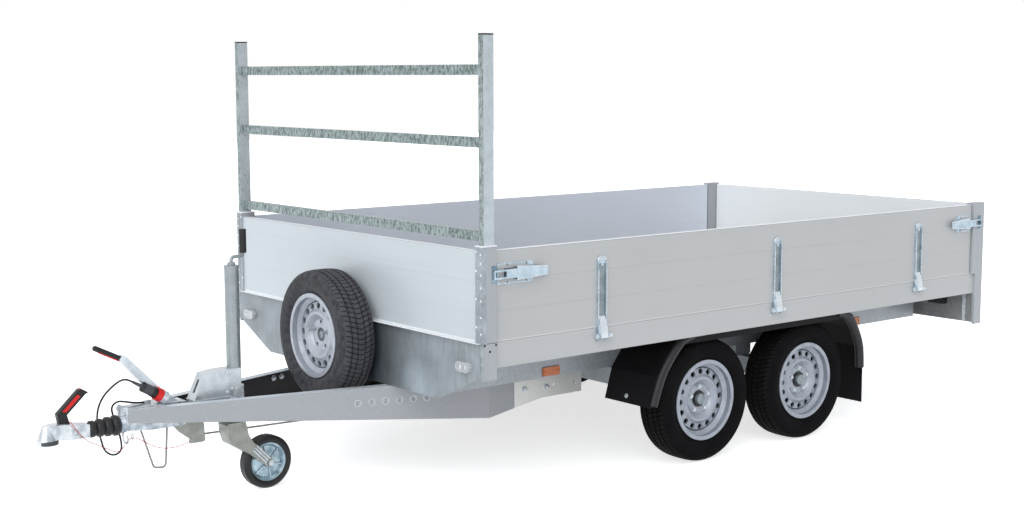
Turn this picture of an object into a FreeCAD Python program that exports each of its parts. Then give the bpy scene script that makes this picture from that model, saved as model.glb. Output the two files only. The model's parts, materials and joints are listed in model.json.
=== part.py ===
import FreeCAD, Part
import math
import os
import Sketcher

# Tandem-axle utility trailer with a flat bed, drop sides, a ladder rack and a V drawbar.
# Frame of the model: +X forward to the coupling, +Y to the left, +Z up, millimetres.
# The origin lies on the ground under the middle of the whole trailer.

os.makedirs("parts", exist_ok=True)
doc = FreeCAD.newDocument("UtilityTrailer")
sheet = doc.addObject("Spreadsheet::Sheet", "Dims")

# Driving dimensions
DIMENSIONS = {
    # bed and its aluminium edge profile
    "bed_front": 964,
    "bed_length": 3307,
    "bed_width": 1898,
    "rave_top": 696,
    "rave_height": 103,
    "rave_width": 45,
    "rave_lip": 12,
    "rave_wall": 4,
    "floor_thickness": 18,
    "floor_below_lip": 3,
    "floor_side_gap": 1,
    # chassis under the floor
    "cross_member_count": 6,
    "cross_member_width": 40,
    "cross_member_wall": 3,
    "cross_member_inset": 160,
    "rail_outer": 619,
    "rail_width": 50,
    "rail_height": 157,
    "rail_wall": 4,
    "rail_front_inset": 40,
    "rail_rear_inset": 110,
    "saddle_size": 60,
    "saddle_front_inset": 90,
    "saddle_rear_inset": 760,
    # V drawbar
    "drawbar_reach": 1050,
    "drawbar_nose_half": 43,
    "drawbar_spread": 449,
    "drawbar_bend_inset": 430,
    "drawbar_end_inset": 960,
    "drawbar_rise_inset": 725,
    "drawbar_wall": 4,
    "drawbar_flange": 42,
    "drawbar_nose_drop": 8,
    "drawbar_nose_depth": 52,
    "drawbar_deep": 184,
    "drawbar_rear_depth": 134,
    "dimple_sphere": 20,
    "dimple_depth": 3,
    "dimple_count": 6,
    "dimple_first": 143,
    "dimple_pitch": 59,
    "dimple_drop": 66,
    "tail_plate": 3,
    "tail_plate_inset": 568,
    "tail_plate_drop": 24,
    "tail_slot_width": 9,
    "tail_slot_height": 24,
    "tail_slot_up": 46,
    # overrun coupling
    "housing_length": 270,
    "housing_bottom": 334,
    "housing_top": 432,
    "housing_round": 10,
    "flange_thickness": 8,
    "flange_half": 42,
    "flange_up": 6,
    "flange_foot": 16,
    "coupling_axis": 366,
    "shank_radius": 21,
    "collar_radius": 34,
    "collar_length": 22,
    "bellows_length": 130,
    "bellows_radius": 41,
    "bellows_root": 32,
    "bellows_folds": 4,
    "bellows_taper": 2.5,
    "bellows_rise": 0.3,
    "fit": 0.3,
    "cup_ahead": 1365,
    "cup_rim": 17,
    "crown_top": 15,
    "cup_radius": 39,
    "cup_bottom": 333,
    "ball_radius": 25,
    "head_width": 52,
    "head_top": 406,
    "head_wall": 4,
    "neck_shoulder": 60,
    "neck_cheek": 24,
    "socket_sink": 5,
    "mouth_depth": 20,
    "handle_width": 24,
    # hand brake
    "lever_width": 24,
    "lever_pivot_back": 895,
    "lever_tip_back": 1050,
    "lever_tip_up": 622,
    "grip_tip_back": 1159,
    "grip_tip_up": 681,
    "grip_radius": 11,
    # jockey wheel
    "jockey_back": 560,
    "jockey_tube": 30,
    "jockey_tube_wall": 4,
    "jockey_tube_bottom": 320,
    "jockey_tube_top": 958,
    "leg_up": 640,
    "leg_seat": 30,
    "jockey_cap": 6,
    "clamp_bottom": 384,
    "clamp_height": 74,
    "clamp_ring": 38,
    "clamp_plate": 6,
    "clamp_plate_drop": 16,
    "clamp_back": 14,
    "clamp_skirt": 18,
    "clamp_slot_half": 8,
    "castor_trail": 140,
    "jockey_radius": 113,
    "jockey_width": 60,
    "jockey_rim_radius": 82,
    "jockey_axle": 8,
    "fork_plate": 4,
    "fork_gap": 5,
    "fork_top": 306,
    "crank_rod": 7,
    "crank_throw": 55,
    "crank_rise": 34,
    "crank_bend": 14,
    "crank_boss": 16,
    "crank_boss_height": 12,
    "crank_grip": 15,
    "crank_grip_bottom": 1006,
    "crank_grip_top": 1104,
    # posts, front board and ladder rack
    "post_proud": 12,
    "post_length": 68,
    "post_depth": 43,
    "post_wall": 4,
    "post_bottom": 549,
    "post_top": 1075,
    "rear_post_length": 92,
    "rear_post_bottom": 430,
    "rear_post_top": 1066,
    "rear_post_cap": 6,
    "post_strip": 3,
    "post_strip_wrap": 15,
    "post_strip_side": 2,
    "rack_length": 50,
    "rack_depth": 30,
    "rack_wall": 3,
    "rack_foot": 900,
    "rack_top": 1882,
    "rack_cap": 6,
    "rack_forward": 6,
    "rung_height": 40,
    "rung_depth": 22,
    "rung_low": 1093,
    "rung_middle": 1454,
    "rung_high": 1731,
    # drop sides
    "board_height": 355,
    "board_thickness": 25,
    "board_seat_gap": 5,
    "board_end_gap": 5,
    "groove": 0.6,
    "board_edge": 3,
    "front_board_inset": 4,
    # strap hinges
    "hinge_out": 14,
    "hinge_height": 660,
    "eye_radius": 11,
    "pin_radius": 6,
    "pin_tip": 12,
    "strap_width": 48,
    "strap_thickness": 4,
    "strap_rib": 12,
    "strap_top": 980,
    "ear_thickness": 6,
    "ear_gap": 1,
    "hinge_first": 625,
    "hinge_second": 1706,
    "hinge_third": 2760,
    "tail_hinge_spread": 620,
    # over-centre latches
    "latch_height": 963,
    "latch_base_height": 84,
    "latch_base_end": 274,
    "latch_base_thickness": 3,
    "latch_lever_height": 55,
    "latch_lever_tip": 34,
    "latch_lever_start": 164,
    "latch_lever_length": 156,
    "latch_lever_depth": 20,
    "latch_lever_wall": 3,
    "latch_cheek": 94,
    "latch_overlap": 10,
    "latch_loop": 52,
    "latch_loop_room": 3,
    "latch_bail_end": 50,
    "latch_bail_bar": 7,
    "catch_start": 59,
    "catch_tongue": 5,
    "catch_tongue_height": 16,
    "catch_reach": 16,
    "catch_plate": 2,
    "catch_edge": 6,
    "catch_plate_down": 32,
    "catch_plate_up": 36,
    "rear_latch_shift": 30,
    "rear_catch_shift": 14,
    # front skirt and lamps
    "skirt_thickness": 3,
    "skirt_side_bottom": 564,
    "skirt_bottom": 435,
    "skirt_chamfer": 275,
    "skirt_lip": 16,
    "front_lamp_inner": 804,
    "front_lamp_outer": 892,
    "front_lamp_bottom": 572,
    "front_lamp_height": 42,
    "front_lamp_depth": 16,
    "front_lamp_corner": 19,
    # road wheels
    "axle_one": 1321,
    "axle_two": 2001,
    "wheel_inset": 136,
    "tyre_radius": 281,
    "tyre_width": 165,
    "tyre_bulge": 40,
    "bead_radius": 168,
    "flange_radius": 182,
    "rim_width": 144,
    "rim_sheet": 4,
    "rim_well": 150,
    "disc_hole_radius": 11,
    "disc_hole_circle": 126,
    "disc_hole_count": 16,
    "bolt_circle": 56,
    "bolt_count": 5,
    "bolt_radius": 8,
    "hub_radius": 23,
    "stub_radius": 18,
    "drum_radius": 108,
    "drum_wall": 10,
    "hub_flange": 47,
    # torsion axles
    "axle_tube": 80,
    "axle_lead": 145,
    "axle_height": 348,
    "arm_thickness": 34,
    "arm_outer": 696,
    "brake_plate": 6,
    "axle_plate_reach": 12,
    # spare wheel
    "spare_back": 110,
    "spare_height": 623,
    "carrier_width": 150,
    "carrier_height": 70,
    "carrier_wall": 4,
    "stud_length": 44,
    "stud_radius": 6,
    "nut_radius": 9.5,
    "nut_height": 9,
    "nut_gap": 6,
    # mudguards
    "guard_outer": 912,
    "guard_inner": 626,
    "guard_sheet": 4,
    "guard_lip": 36,
    "guard_lip_width": 8,
    "guard_front": 992,
    "guard_rear": 2312,
    "guard_foot": 300,
    "flap_bottom": 124,
    "flap_thickness": 5,
    "flap_inset": 30,
    "flap_lap": 60,
    # lamps at the back
    "lamp_board_inset": 3240,
    "lamp_board_bottom": 440,
    "lamp_board_thickness": 6,
    "lamp_width": 236,
    "lamp_height": 100,
    "lamp_depth": 44,
    "lamp_inset": 14,
    "lamp_rise": 20,
    "lamp_corner": 12,
    "reflector_length": 92,
    "reflector_height": 38,
    "reflector_depth": 8,
    "reflector_up": 6,
    "reflector_front": 588,
    "reflector_back": 2640,
    # brake rod, wire bow and cables
    "rod_offset": 94,
    "rod_height": 250,
    "rod_rear_height": 200,
    "equaliser_length": 240,
    "equaliser_height": 36,
    "bow_diameter": 8,
    "cable_diameter": 8,
    "wire_diameter": 3,
    "plug_radius": 20,
    "plug_relief": 46,
    "plug_body": 66,
    "park_radius": 26,
    "park_length": 48,
    "guide_ring": 10,
    "guide_bar": 2,
    "guide_ahead": 1020,
    "guide_side": 7,
    "guide_drop": 13,
    "gland_length": 26,
}

for row, (alias, number) in enumerate(DIMENSIONS.items(), start=1):
    sheet.set(f"A{row}", alias)
    sheet.set(f"B{row}", str(number))
    sheet.setAlias(f"B{row}", alias)
doc.recompute()


class Size:
    """A value that knows its number and the sheet expression behind it."""

    def __init__(self, number, text):
        self.number = number
        self.text = text

    def __add__(self, other):
        other = as_size(other)
        return Size(self.number + other.number, f"({self.text} + {other.text})")

    def __sub__(self, other):
        other = as_size(other)
        return Size(self.number - other.number, f"({self.text} - {other.text})")

    def __mul__(self, other):
        other = as_size(other)
        return Size(self.number * other.number, f"({self.text} * {other.text})")

    def __truediv__(self, other):
        other = as_size(other)
        return Size(self.number / other.number, f"({self.text} / {other.text})")

    def __radd__(self, other):
        return as_size(other) + self

    def __rsub__(self, other):
        return as_size(other) - self

    def __rmul__(self, other):
        return as_size(other) * self

    def __rtruediv__(self, other):
        return as_size(other) / self

    def __neg__(self):
        return Size(-self.number, f"(0 - {self.text})")


def as_size(value):
    if isinstance(value, Size):
        return value
    return Size(float(value), f"({float(value)!r})")


def root(value):
    return Size(math.sqrt(value.number), f"sqrt({value.text})")


class Sheet:
    """Gives each driving dimension by its alias, as d.bed_length."""

    def __getattr__(self, alias):
        return Size(float(sheet.get(alias)), f"Dims.{alias}")


d = Sheet()
nodes = []


def bind(item, **properties):
    for name, size in properties.items():
        item.setExpression(name.replace("__", "."), as_size(size).text)


def place(item, x=0, y=0, z=0):
    bind(item, Placement__Base__x=x, Placement__Base__y=y, Placement__Base__z=z)
    return item


def finish(item, label):
    """Names a finished sub-part, which is written out under its label."""
    item.Label = label
    nodes.append(item)
    return item


def across(side, inner, outer):
    """Orders an inner and an outer distance from the middle along +Y on either side."""
    return (as_size(inner), as_size(outer)) if side > 0 else (-as_size(outer), -as_size(inner))


def box(name, x, y, z):
    """A block between two values on each axis, each given as (low, high)."""
    block = doc.addObject("Part::Box", name)
    bind(block, Length=as_size(x[1]) - x[0], Width=as_size(y[1]) - y[0], Height=as_size(z[1]) - z[0])
    return place(block, x[0], y[0], z[0])


TURN = {
    "X": FreeCAD.Rotation(FreeCAD.Vector(0, 1, 0), 90),
    "Y": FreeCAD.Rotation(FreeCAD.Vector(1, 0, 0), -90),
    "Z": FreeCAD.Rotation(),
}


def cylinder(name, axis, start, radius, length):
    """A round bar that runs from its start point along +X, +Y or +Z."""
    bar = doc.addObject("Part::Cylinder", name)
    bar.Placement = FreeCAD.Placement(FreeCAD.Vector(), TURN[axis])
    bind(bar, Radius=radius, Height=length)
    return place(bar, *start)


def cut(name, base, tool):
    result = doc.addObject("Part::Cut", name)
    result.Base = base
    result.Tool = tool
    return result


def common(name, base, tool):
    result = doc.addObject("Part::Common", name)
    result.Base = base
    result.Tool = tool
    return result


def fuse(name, pieces):
    result = doc.addObject("Part::MultiFuse", name)
    result.Shapes = pieces
    return result


def group(name, pieces):
    """Like pieces that don't touch, kept as separate solids of one node."""
    result = doc.addObject("Part::Compound", name)
    result.Links = pieces
    return result


def new_body(name):
    body = doc.addObject("PartDesign::Body", name)
    body.AllowCompound = True
    return body


NORMAL_SIGN = {"XY": 1, "XZ": -1, "YZ": 1}


def sketch_on(body, plane, name, offset=0):
    """A sketch on one of the body's own origin planes, moved along that plane's axis."""
    sketch = body.newObject("Sketcher::SketchObject", name)
    origin_plane = [item for item in body.Origin.OriginFeatures if item.Role == f"{plane}_Plane"][0]
    sketch.AttachmentSupport = (origin_plane, "")
    sketch.MapMode = "FlatFace"
    bind(sketch, AttachmentOffset__Base__z=as_size(offset) * NORMAL_SIGN[plane])
    return sketch


def draw_outline(sketch, points):
    """A closed outline whose every corner is held by two dimensions tied to the sheet."""
    points = [(as_size(x), as_size(y)) for x, y in points]
    first = sketch.GeometryCount
    count = len(points)
    for index, (x, y) in enumerate(points):
        next_x, next_y = points[(index + 1) % count]
        start = FreeCAD.Vector(x.number, y.number, 0)
        end = FreeCAD.Vector(next_x.number, next_y.number, 0)
        sketch.addGeometry(Part.LineSegment(start, end), False)
    for index in range(count):
        following = first + (index + 1) % count
        sketch.addConstraint(Sketcher.Constraint("Coincident", first + index, 2, following, 1))
    for index, (x, y) in enumerate(points):
        for kind, size in (("DistanceX", x), ("DistanceY", y)):
            number = sketch.addConstraint(Sketcher.Constraint(kind, -1, 1, first + index, 1, size.number))
            sketch.setExpression(f"Constraints[{number}]", size.text)


def draw_circle(sketch, x, y, radius):
    x, y, radius = as_size(x), as_size(y), as_size(radius)
    centre = FreeCAD.Vector(x.number, y.number, 0)
    circle = sketch.addGeometry(Part.Circle(centre, FreeCAD.Vector(0, 0, 1), radius.number), False)
    for kind, size in (("DistanceX", x), ("DistanceY", y)):
        number = sketch.addConstraint(Sketcher.Constraint(kind, -1, 1, circle, 3, size.number))
        sketch.setExpression(f"Constraints[{number}]", size.text)
    number = sketch.addConstraint(Sketcher.Constraint("Radius", circle, radius.number))
    sketch.setExpression(f"Constraints[{number}]", radius.text)


def pad(body, plane, span, outlines=(), circles=()):
    """Adds an extrusion of outlines drawn on a plane, over a (low, high) span of its axis."""
    low, high = as_size(span[0]), as_size(span[1])
    start = high if plane == "XZ" else low
    sketch = sketch_on(body, plane, "Profile", start)
    for outline in outlines:
        draw_outline(sketch, outline)
    for circle in circles:
        draw_circle(sketch, *circle)
    feature = body.newObject("PartDesign::Pad", "Pad")
    feature.Profile = sketch
    bind(feature, Length=high - low)
    return feature


def pocket(body, plane, span, outlines=(), circles=()):
    """Cuts outlines drawn on a plane out of the body, over a (low, high) span of its axis."""
    low, high = as_size(span[0]), as_size(span[1])
    start = low if plane == "XZ" else high
    sketch = sketch_on(body, plane, "Opening", start)
    for outline in outlines:
        draw_outline(sketch, outline)
    for circle in circles:
        draw_circle(sketch, *circle)
    feature = body.newObject("PartDesign::Pocket", "Pocket")
    feature.Profile = sketch
    bind(feature, Length=high - low)
    return feature


def revolve(body, points):
    """Turns an outline of (along Y, radius) points about the body's own Y axis."""
    sketch = sketch_on(body, "YZ", "Section")
    draw_outline(sketch, points)
    feature = body.newObject("PartDesign::Revolution", "Revolution")
    feature.Profile = sketch
    feature.ReferenceAxis = (sketch, ["H_Axis"])
    feature.Angle = 360
    return feature


def repeat_around(body, feature, count):
    """Copies a feature evenly about the body's own Y axis."""
    axis = [item for item in body.Origin.OriginFeatures if item.Role == "Y_Axis"][0]
    pattern = body.newObject("PartDesign::PolarPattern", "Ring")
    pattern.Originals = [feature]
    pattern.Axis = (axis, [""])
    pattern.Angle = 360
    bind(pattern, Occurrences=count)
    body.Tip = pattern
    return pattern


def rectangle(x, y):
    return [(x[0], y[0]), (x[1], y[0]), (x[1], y[1]), (x[0], y[1])]


# Shared places
bed_rear = d.bed_front - d.bed_length
half_width = d.bed_width / 2
rave_bottom = d.rave_top - d.rave_height
floor_top = d.rave_top - d.floor_below_lip
shelf = floor_top - d.floor_thickness
rail_bottom = rave_bottom - d.rail_height
board_bottom = d.rave_top + d.board_seat_gap
board_top = board_bottom + d.board_height
post_outer = half_width + d.post_proud
post_inner = post_outer - d.post_depth
cup_x = d.bed_front + d.cup_ahead

# How far a cutting shape runs past the face it opens
PAST = 1


def behind(distance):
    """The X place that lies a distance behind the bed's front edge."""
    return d.bed_front - distance


def ahead(distance):
    """The X place that lies a distance ahead of the bed's front edge."""
    return d.bed_front + distance


# Bed edge profile: an outer wall with a lip, a shelf for the floor and a closed box below

def rave_section(outer, inward):
    """Section of the edge profile, from its outer face inwards, and its hollow."""
    def at(depth, height):
        return (outer + inward * as_size(depth), height)
    shell = [
        at(0, rave_bottom), at(d.rave_width, rave_bottom), at(d.rave_width, shelf),
        at(d.rave_lip, shelf), at(d.rave_lip, d.rave_top), at(0, d.rave_top),
    ]
    hollow = [
        at(d.rave_wall, rave_bottom + d.rave_wall),
        at(d.rave_width - d.rave_wall, rave_bottom + d.rave_wall),
        at(d.rave_width - d.rave_wall, shelf - d.rave_wall),
        at(d.rave_wall, shelf - d.rave_wall),
    ]
    return [shell, hollow]


def side_rave(side, label):
    body = new_body(label)
    pad(body, "YZ", (bed_rear, d.bed_front), rave_section(side * half_width, -side))
    return finish(body, label)


def end_raves():
    inner = half_width - d.rave_width
    front = new_body("FrontRave")
    pad(front, "XZ", (-inner, inner), rave_section(d.bed_front, -1))
    rear = new_body("RearRave")
    pad(rear, "XZ", (-inner, inner), rave_section(bed_rear, 1))
    return finish(group("EndRaves", [front, rear]), "rave_ends")


def floor_board():
    edge = d.rave_lip + d.floor_side_gap
    board = box("Floor", (bed_rear + edge, d.bed_front - edge),
                (edge - half_width, half_width - edge), (shelf, floor_top))
    return finish(board, "floor_board")


# Chassis under the floor

def cross_member(index, x):
    """An open channel across the bed, its back to the front."""
    wall = d.cross_member_wall
    back = x - d.cross_member_width
    inner = half_width - d.rave_width
    body = new_body(f"CrossMember{index}")
    section = [
        (x, rave_bottom), (x, shelf), (back, shelf), (back, shelf - wall), (x - wall, shelf - wall),
        (x - wall, rave_bottom + wall), (back, rave_bottom + wall), (back, rave_bottom),
    ]
    pad(body, "XZ", (-inner, inner), [section])
    return body


def square_tube(name, x, y, z, wall, axis):
    """A hollow rectangular tube with open ends along one axis."""
    body = new_body(name)
    spans = {"X": (y, z, "YZ", x), "Y": (x, z, "XZ", y), "Z": (x, y, "XY", z)}
    first, second, plane, along = spans[axis]
    inner = rectangle((first[0] + wall, first[1] - wall), (second[0] + wall, second[1] - wall))
    pad(body, plane, along, [rectangle(first, second), inner])
    return body


def chassis():
    count = int(d.cross_member_count.number)
    pitch = (d.bed_length - 2 * d.cross_member_inset - d.cross_member_width) / (d.cross_member_count - 1)
    members = [cross_member(index, behind(d.cross_member_inset + pitch * index)) for index in range(count)]
    rails = []
    for side in (1, -1):
        y = across(side, d.rail_outer - d.rail_width, d.rail_outer)
        rails.append(square_tube("Rail", (bed_rear + d.rail_rear_inset, behind(d.rail_front_inset)), y,
                                 (rail_bottom, rave_bottom), d.rail_wall, "X"))
    finish(group("ChassisRails", rails), "chassis_rails")
    inner = d.rail_outer - d.rail_width
    for inset in (d.saddle_front_inset, d.saddle_rear_inset):
        members.append(square_tube("Saddle", (behind(inset + d.saddle_size), behind(inset)), (-inner, inner),
                                   (rail_bottom, rail_bottom + d.saddle_size), d.rail_wall, "Y"))
    finish(group("CrossMembers", members), "cross_members")


# V drawbar: two channels with the web outside, spreading back and then running parallel

TAIL_SLOTS = (798, 919)
nose_x = ahead(d.drawbar_reach)
bend_x = behind(d.drawbar_bend_inset)
end_x = behind(d.drawbar_end_inset)
spread_run = nose_x - bend_x
spread_rise = d.drawbar_spread - d.drawbar_nose_half
spread_slant = root(spread_run * spread_run + spread_rise * spread_rise)


def drawbar_line(depth, extra=0):
    """Plan line of a drawbar beam at a depth inside its web's outer face, on the left."""
    shift = as_size(depth) * spread_slant / spread_run
    line_y = d.drawbar_spread - depth
    meet = (line_y - d.drawbar_nose_half + shift) * spread_run / spread_rise
    nose_y = d.drawbar_nose_half - shift - as_size(extra) * spread_rise / spread_run
    return [(nose_x + extra, nose_y), (nose_x - meet, line_y), (end_x - extra, line_y)]


def drawbar_half_gap(x, depth):
    """Distance from the middle to the beam's line at a depth inside the web, at a given x."""
    return d.drawbar_nose_half - as_size(depth) * spread_slant / spread_run \
        + (nose_x - x) * spread_rise / spread_run


def drawbar_side(inset, extra=0):
    """Side outline of a drawbar beam, drawn in by the flange's thickness."""
    top = rail_bottom - inset
    nose_top = top - d.drawbar_nose_drop
    return [
        (nose_x + extra, nose_top), (nose_x + extra, rail_bottom - d.drawbar_nose_drop
                                     - d.drawbar_nose_depth + inset),
        (bend_x, rail_bottom - d.drawbar_deep + inset),
        (behind(d.drawbar_rise_inset), rail_bottom - d.drawbar_rear_depth + inset),
        (end_x - extra, rail_bottom - d.drawbar_rear_depth + inset),
        (end_x - extra, top), (bend_x, top),
    ]


def drawbar_slab(name, side, shallow, deep, inset, extra):
    """The solid between two plan lines, trimmed to a side outline."""
    plan = drawbar_line(shallow, extra) + drawbar_line(deep, extra)[::-1]
    body = new_body(name + "Plan")
    pad(body, "XY", (rail_bottom - 2 * d.drawbar_deep, rail_bottom + d.drawbar_wall),
        [[(x, side * y) for x, y in plan]])
    profile = new_body(name + "Side")
    pad(profile, "XZ", across(side, -d.drawbar_flange, d.drawbar_spread + d.drawbar_flange),
        [drawbar_side(inset, extra)])
    return common(name, body, profile)


def drawbar_beam(side, label):
    """A channel that deepens to the bend, with pressed dimples and a slotted plate at its tail."""
    name = "BeamLeft" if side > 0 else "BeamRight"
    whole = drawbar_slab(name + "Whole", side, 0, d.drawbar_flange, 0, 0)
    hollow = drawbar_slab(name + "Hollow", side, d.drawbar_wall, 2 * d.drawbar_flange, d.drawbar_wall,
                          PAST)
    channel = cut(name + "Channel", whole, hollow)
    room = box(name + "Room", (nose_x - d.housing_length, nose_x + PAST),
               across(side, -PAST, d.drawbar_nose_half - d.drawbar_wall * spread_slant / spread_run),
               (rail_bottom - d.drawbar_deep, rail_bottom + PAST))
    tail = new_body(name + "Tail")
    outer = d.drawbar_spread + d.tail_plate
    bottom = rail_bottom - d.drawbar_rear_depth
    front = behind(d.tail_plate_inset)
    pad(tail, "XZ", across(side, d.drawbar_spread, outer), [[
        (front, rail_bottom), (front, bottom - d.tail_plate_drop), (behind(d.drawbar_rise_inset), bottom),
        (end_x, bottom), (end_x, rail_bottom),
    ]])
    openings = [room]
    for index in range(int(d.dimple_count.number)):
        x = ahead(d.dimple_first - d.dimple_pitch * index)
        y = drawbar_half_gap(x, d.dimple_depth - d.dimple_sphere)
        dimple = doc.addObject("Part::Sphere", f"{name}Dimple{index}")
        bind(dimple, Radius=d.dimple_sphere)
        openings.append(place(dimple, x, side * y, rail_bottom - d.dimple_drop))
    for index, inset in enumerate(TAIL_SLOTS):
        x = behind(inset)
        middle = bottom + d.tail_slot_up
        openings.append(box(f"{name}Slot{index}", (x - d.tail_slot_width / 2, x + d.tail_slot_width / 2),
                            across(side, d.drawbar_spread - 2 * d.drawbar_wall, outer + PAST),
                            (middle - d.tail_slot_height / 2, middle + d.tail_slot_height / 2)))
    return finish(cut(name, fuse(name + "Plated", [channel, tail]), fuse(name + "Openings", openings)), label)


# Overrun coupling: housing between the beams, bellows, pressed head and its handle

GLAND_AHEAD = 952
CABLE_SIDE = 22
PLUG_SLOPE = math.radians(31.1)

housing_half = d.drawbar_nose_half - d.drawbar_wall * spread_slant / spread_run
bellows_rear = nose_x + d.collar_length
bellows_front = bellows_rear + d.bellows_length


def overrun_housing():
    body = new_body("Housing")
    x = (nose_x - d.housing_length, nose_x)
    r = d.housing_round
    outline = [
        (x[0], d.housing_bottom + 3 * r), (x[0] + 3 * r, d.housing_bottom),
        (x[1] - 10 * r, d.housing_bottom), (x[1], d.housing_bottom + r),
        (x[1], d.housing_top - r), (x[1] - r, d.housing_top), (x[0] + 2 * r, d.housing_top),
        (x[0], d.housing_top - 2 * r),
    ]
    pad(body, "XZ", (-housing_half, housing_half), [outline])
    pad(body, "YZ", (nose_x, nose_x + d.flange_thickness), [rectangle(
        (-d.flange_half, d.flange_half), (d.housing_bottom + d.flange_foot, d.housing_top + d.flange_up))])
    pad(body, "YZ", (nose_x - PAST, bellows_rear), circles=[(0, d.coupling_axis, d.collar_radius)])
    pad(body, "YZ", (nose_x, cup_x - 3 * d.cup_radius), circles=[(0, d.coupling_axis, d.shank_radius)])
    ring_x, ring_y = ahead(d.guide_ahead), d.guide_side
    ring_z = d.housing_bottom - d.guide_ring - d.guide_drop
    ring = doc.addObject("Part::Torus", "GuideRing")
    ring.Placement = FreeCAD.Placement(FreeCAD.Vector(), TURN["X"])
    bind(ring, Radius1=d.guide_ring, Radius2=d.guide_bar)
    place(ring, ring_x, ring_y, ring_z)
    stem_bottom = ring_z + d.guide_ring
    stem = cylinder("GuideStem", "Z", (ring_x, ring_y, stem_bottom), d.guide_bar,
                    d.housing_bottom + d.housing_round - stem_bottom)
    gland_x = ahead(GLAND_AHEAD)
    gland_start = (gland_x - d.gland_length, -CABLE_SIDE, d.housing_top + d.cable_diameter / 2)
    gland = cylinder("CableGland", "X", gland_start, d.cable_diameter, d.gland_length)
    return finish(fuse("HousingWithGuides", [body, ring, stem, gland]), "overrun_housing")


def bellows():
    """Rubber folds around the sliding shank, turned about the coupling's axis."""
    folds = int(d.bellows_folds.number)
    pitch = d.bellows_length / d.bellows_folds
    outline = [(bellows_rear, d.shank_radius + d.fit), (bellows_rear, d.bellows_root)]
    for index in range(folds):
        start = bellows_rear + pitch * index
        fold = d.bellows_radius - d.bellows_taper * index
        outline += [(start + pitch * d.bellows_rise, fold), (start + pitch * (1 - d.bellows_rise), fold)]
        outline += [(start + pitch, d.bellows_root - d.bellows_taper * index)]
    outline += [(bellows_front, d.shank_radius + d.fit)]
    body = new_body("Bellows")
    sketch = sketch_on(body, "XZ", "Section")
    draw_outline(sketch, outline)
    turn = body.newObject("PartDesign::Revolution", "Revolution")
    turn.Profile = sketch
    turn.ReferenceAxis = (sketch, ["H_Axis"])
    turn.Angle = 360
    place(body, 0, 0, d.coupling_axis)
    return finish(body, "bellows")


# The handle's side outline above its foot, as distances ahead of the bed and above the ground
HANDLE_OUTLINE = [
    (1324, 433), (1326, 445), (1236, 530), (1225, 533), (1197, 516), (1210, 509), (1286, 438),
]
HANDLE_FOOT = (1276, 1318)


def coupling_head():
    """A pressed head: a low cup with a rim and a sloping crown, and a neck around the shank."""
    rim_top = d.cup_bottom + d.cup_rim
    rim = cylinder("CupRim", "Z", (cup_x, 0, d.cup_bottom), d.cup_radius, d.cup_rim)
    crown = doc.addObject("Part::Cone", "Crown")
    bind(crown, Radius1=d.cup_radius - 2, Radius2=d.crown_top, Height=d.head_top - rim_top)
    place(crown, cup_x, 0, rim_top)
    neck = new_body("Neck")
    half = d.head_width / 2
    wall = d.head_wall
    front = cup_x + wall
    plan = [
        (front, d.crown_top), (cup_x - d.neck_cheek, half + wall), (cup_x - d.neck_shoulder, half + wall),
        (bellows_front, half), (bellows_front, -half), (cup_x - d.neck_shoulder, -half - wall),
        (cup_x - d.neck_cheek, -half - wall), (front, -d.crown_top),
    ]
    neck_bottom = d.coupling_axis - d.shank_radius - wall
    pad(neck, "XY", (neck_bottom, d.head_top), [plan])
    profile = new_body("NeckSide")
    side = [
        (front, rim_top), (front, d.head_top), (cup_x - d.neck_shoulder, d.head_top),
        (bellows_front, d.coupling_axis + d.shank_radius + wall), (bellows_front, neck_bottom),
        (cup_x - 2 * d.cup_radius, neck_bottom), (cup_x - d.cup_radius, rim_top),
    ]
    pad(profile, "XZ", (-d.cup_radius, d.cup_radius), [side])
    shell = fuse("HeadShell", [rim, crown, common("NeckTrim", neck, profile)])
    socket = doc.addObject("Part::Sphere", "Socket")
    bind(socket, Radius=d.ball_radius)
    place(socket, cup_x, 0, d.cup_bottom + d.ball_radius - d.socket_sink)
    mouth = cylinder("Mouth", "Z", (cup_x, 0, d.cup_bottom - d.mouth_depth), d.ball_radius, 2 * d.mouth_depth)
    shank = cylinder("ShankBore", "X", (bellows_front - PAST, 0, d.coupling_axis), d.shank_radius + d.fit,
                     cup_x - 3 * d.cup_radius - bellows_front + PAST + d.fit)
    tools = fuse("HeadTools", [socket, mouth, shank])
    return finish(cut("Head", shell, tools), "coupling_head")


def neck_top(x):
    """Height of the head's top at a place on its slope towards the bellows."""
    low = d.coupling_axis + d.shank_radius + d.head_wall
    shoulder = cup_x - d.neck_shoulder
    return low + (d.head_top - low) * (x - bellows_front) / (shoulder - bellows_front)


def coupling_handle():
    """A cranked lever that rises from the head's top and lies back over it."""
    body = new_body("Handle")
    rear, front = ahead(HANDLE_FOOT[0]), ahead(HANDLE_FOOT[1])
    outline = [(rear, neck_top(rear)), (cup_x - d.neck_shoulder, d.head_top), (front, d.head_top)]
    outline += [(ahead(x), z) for x, z in HANDLE_OUTLINE]
    half = d.handle_width / 2
    pad(body, "XZ", (-half, half), [outline])
    return finish(body, "coupling_handle")


# Round bars, tubes and cords along bent routes

def vector(point):
    return FreeCAD.Vector(*[as_size(value).number for value in point])


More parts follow.
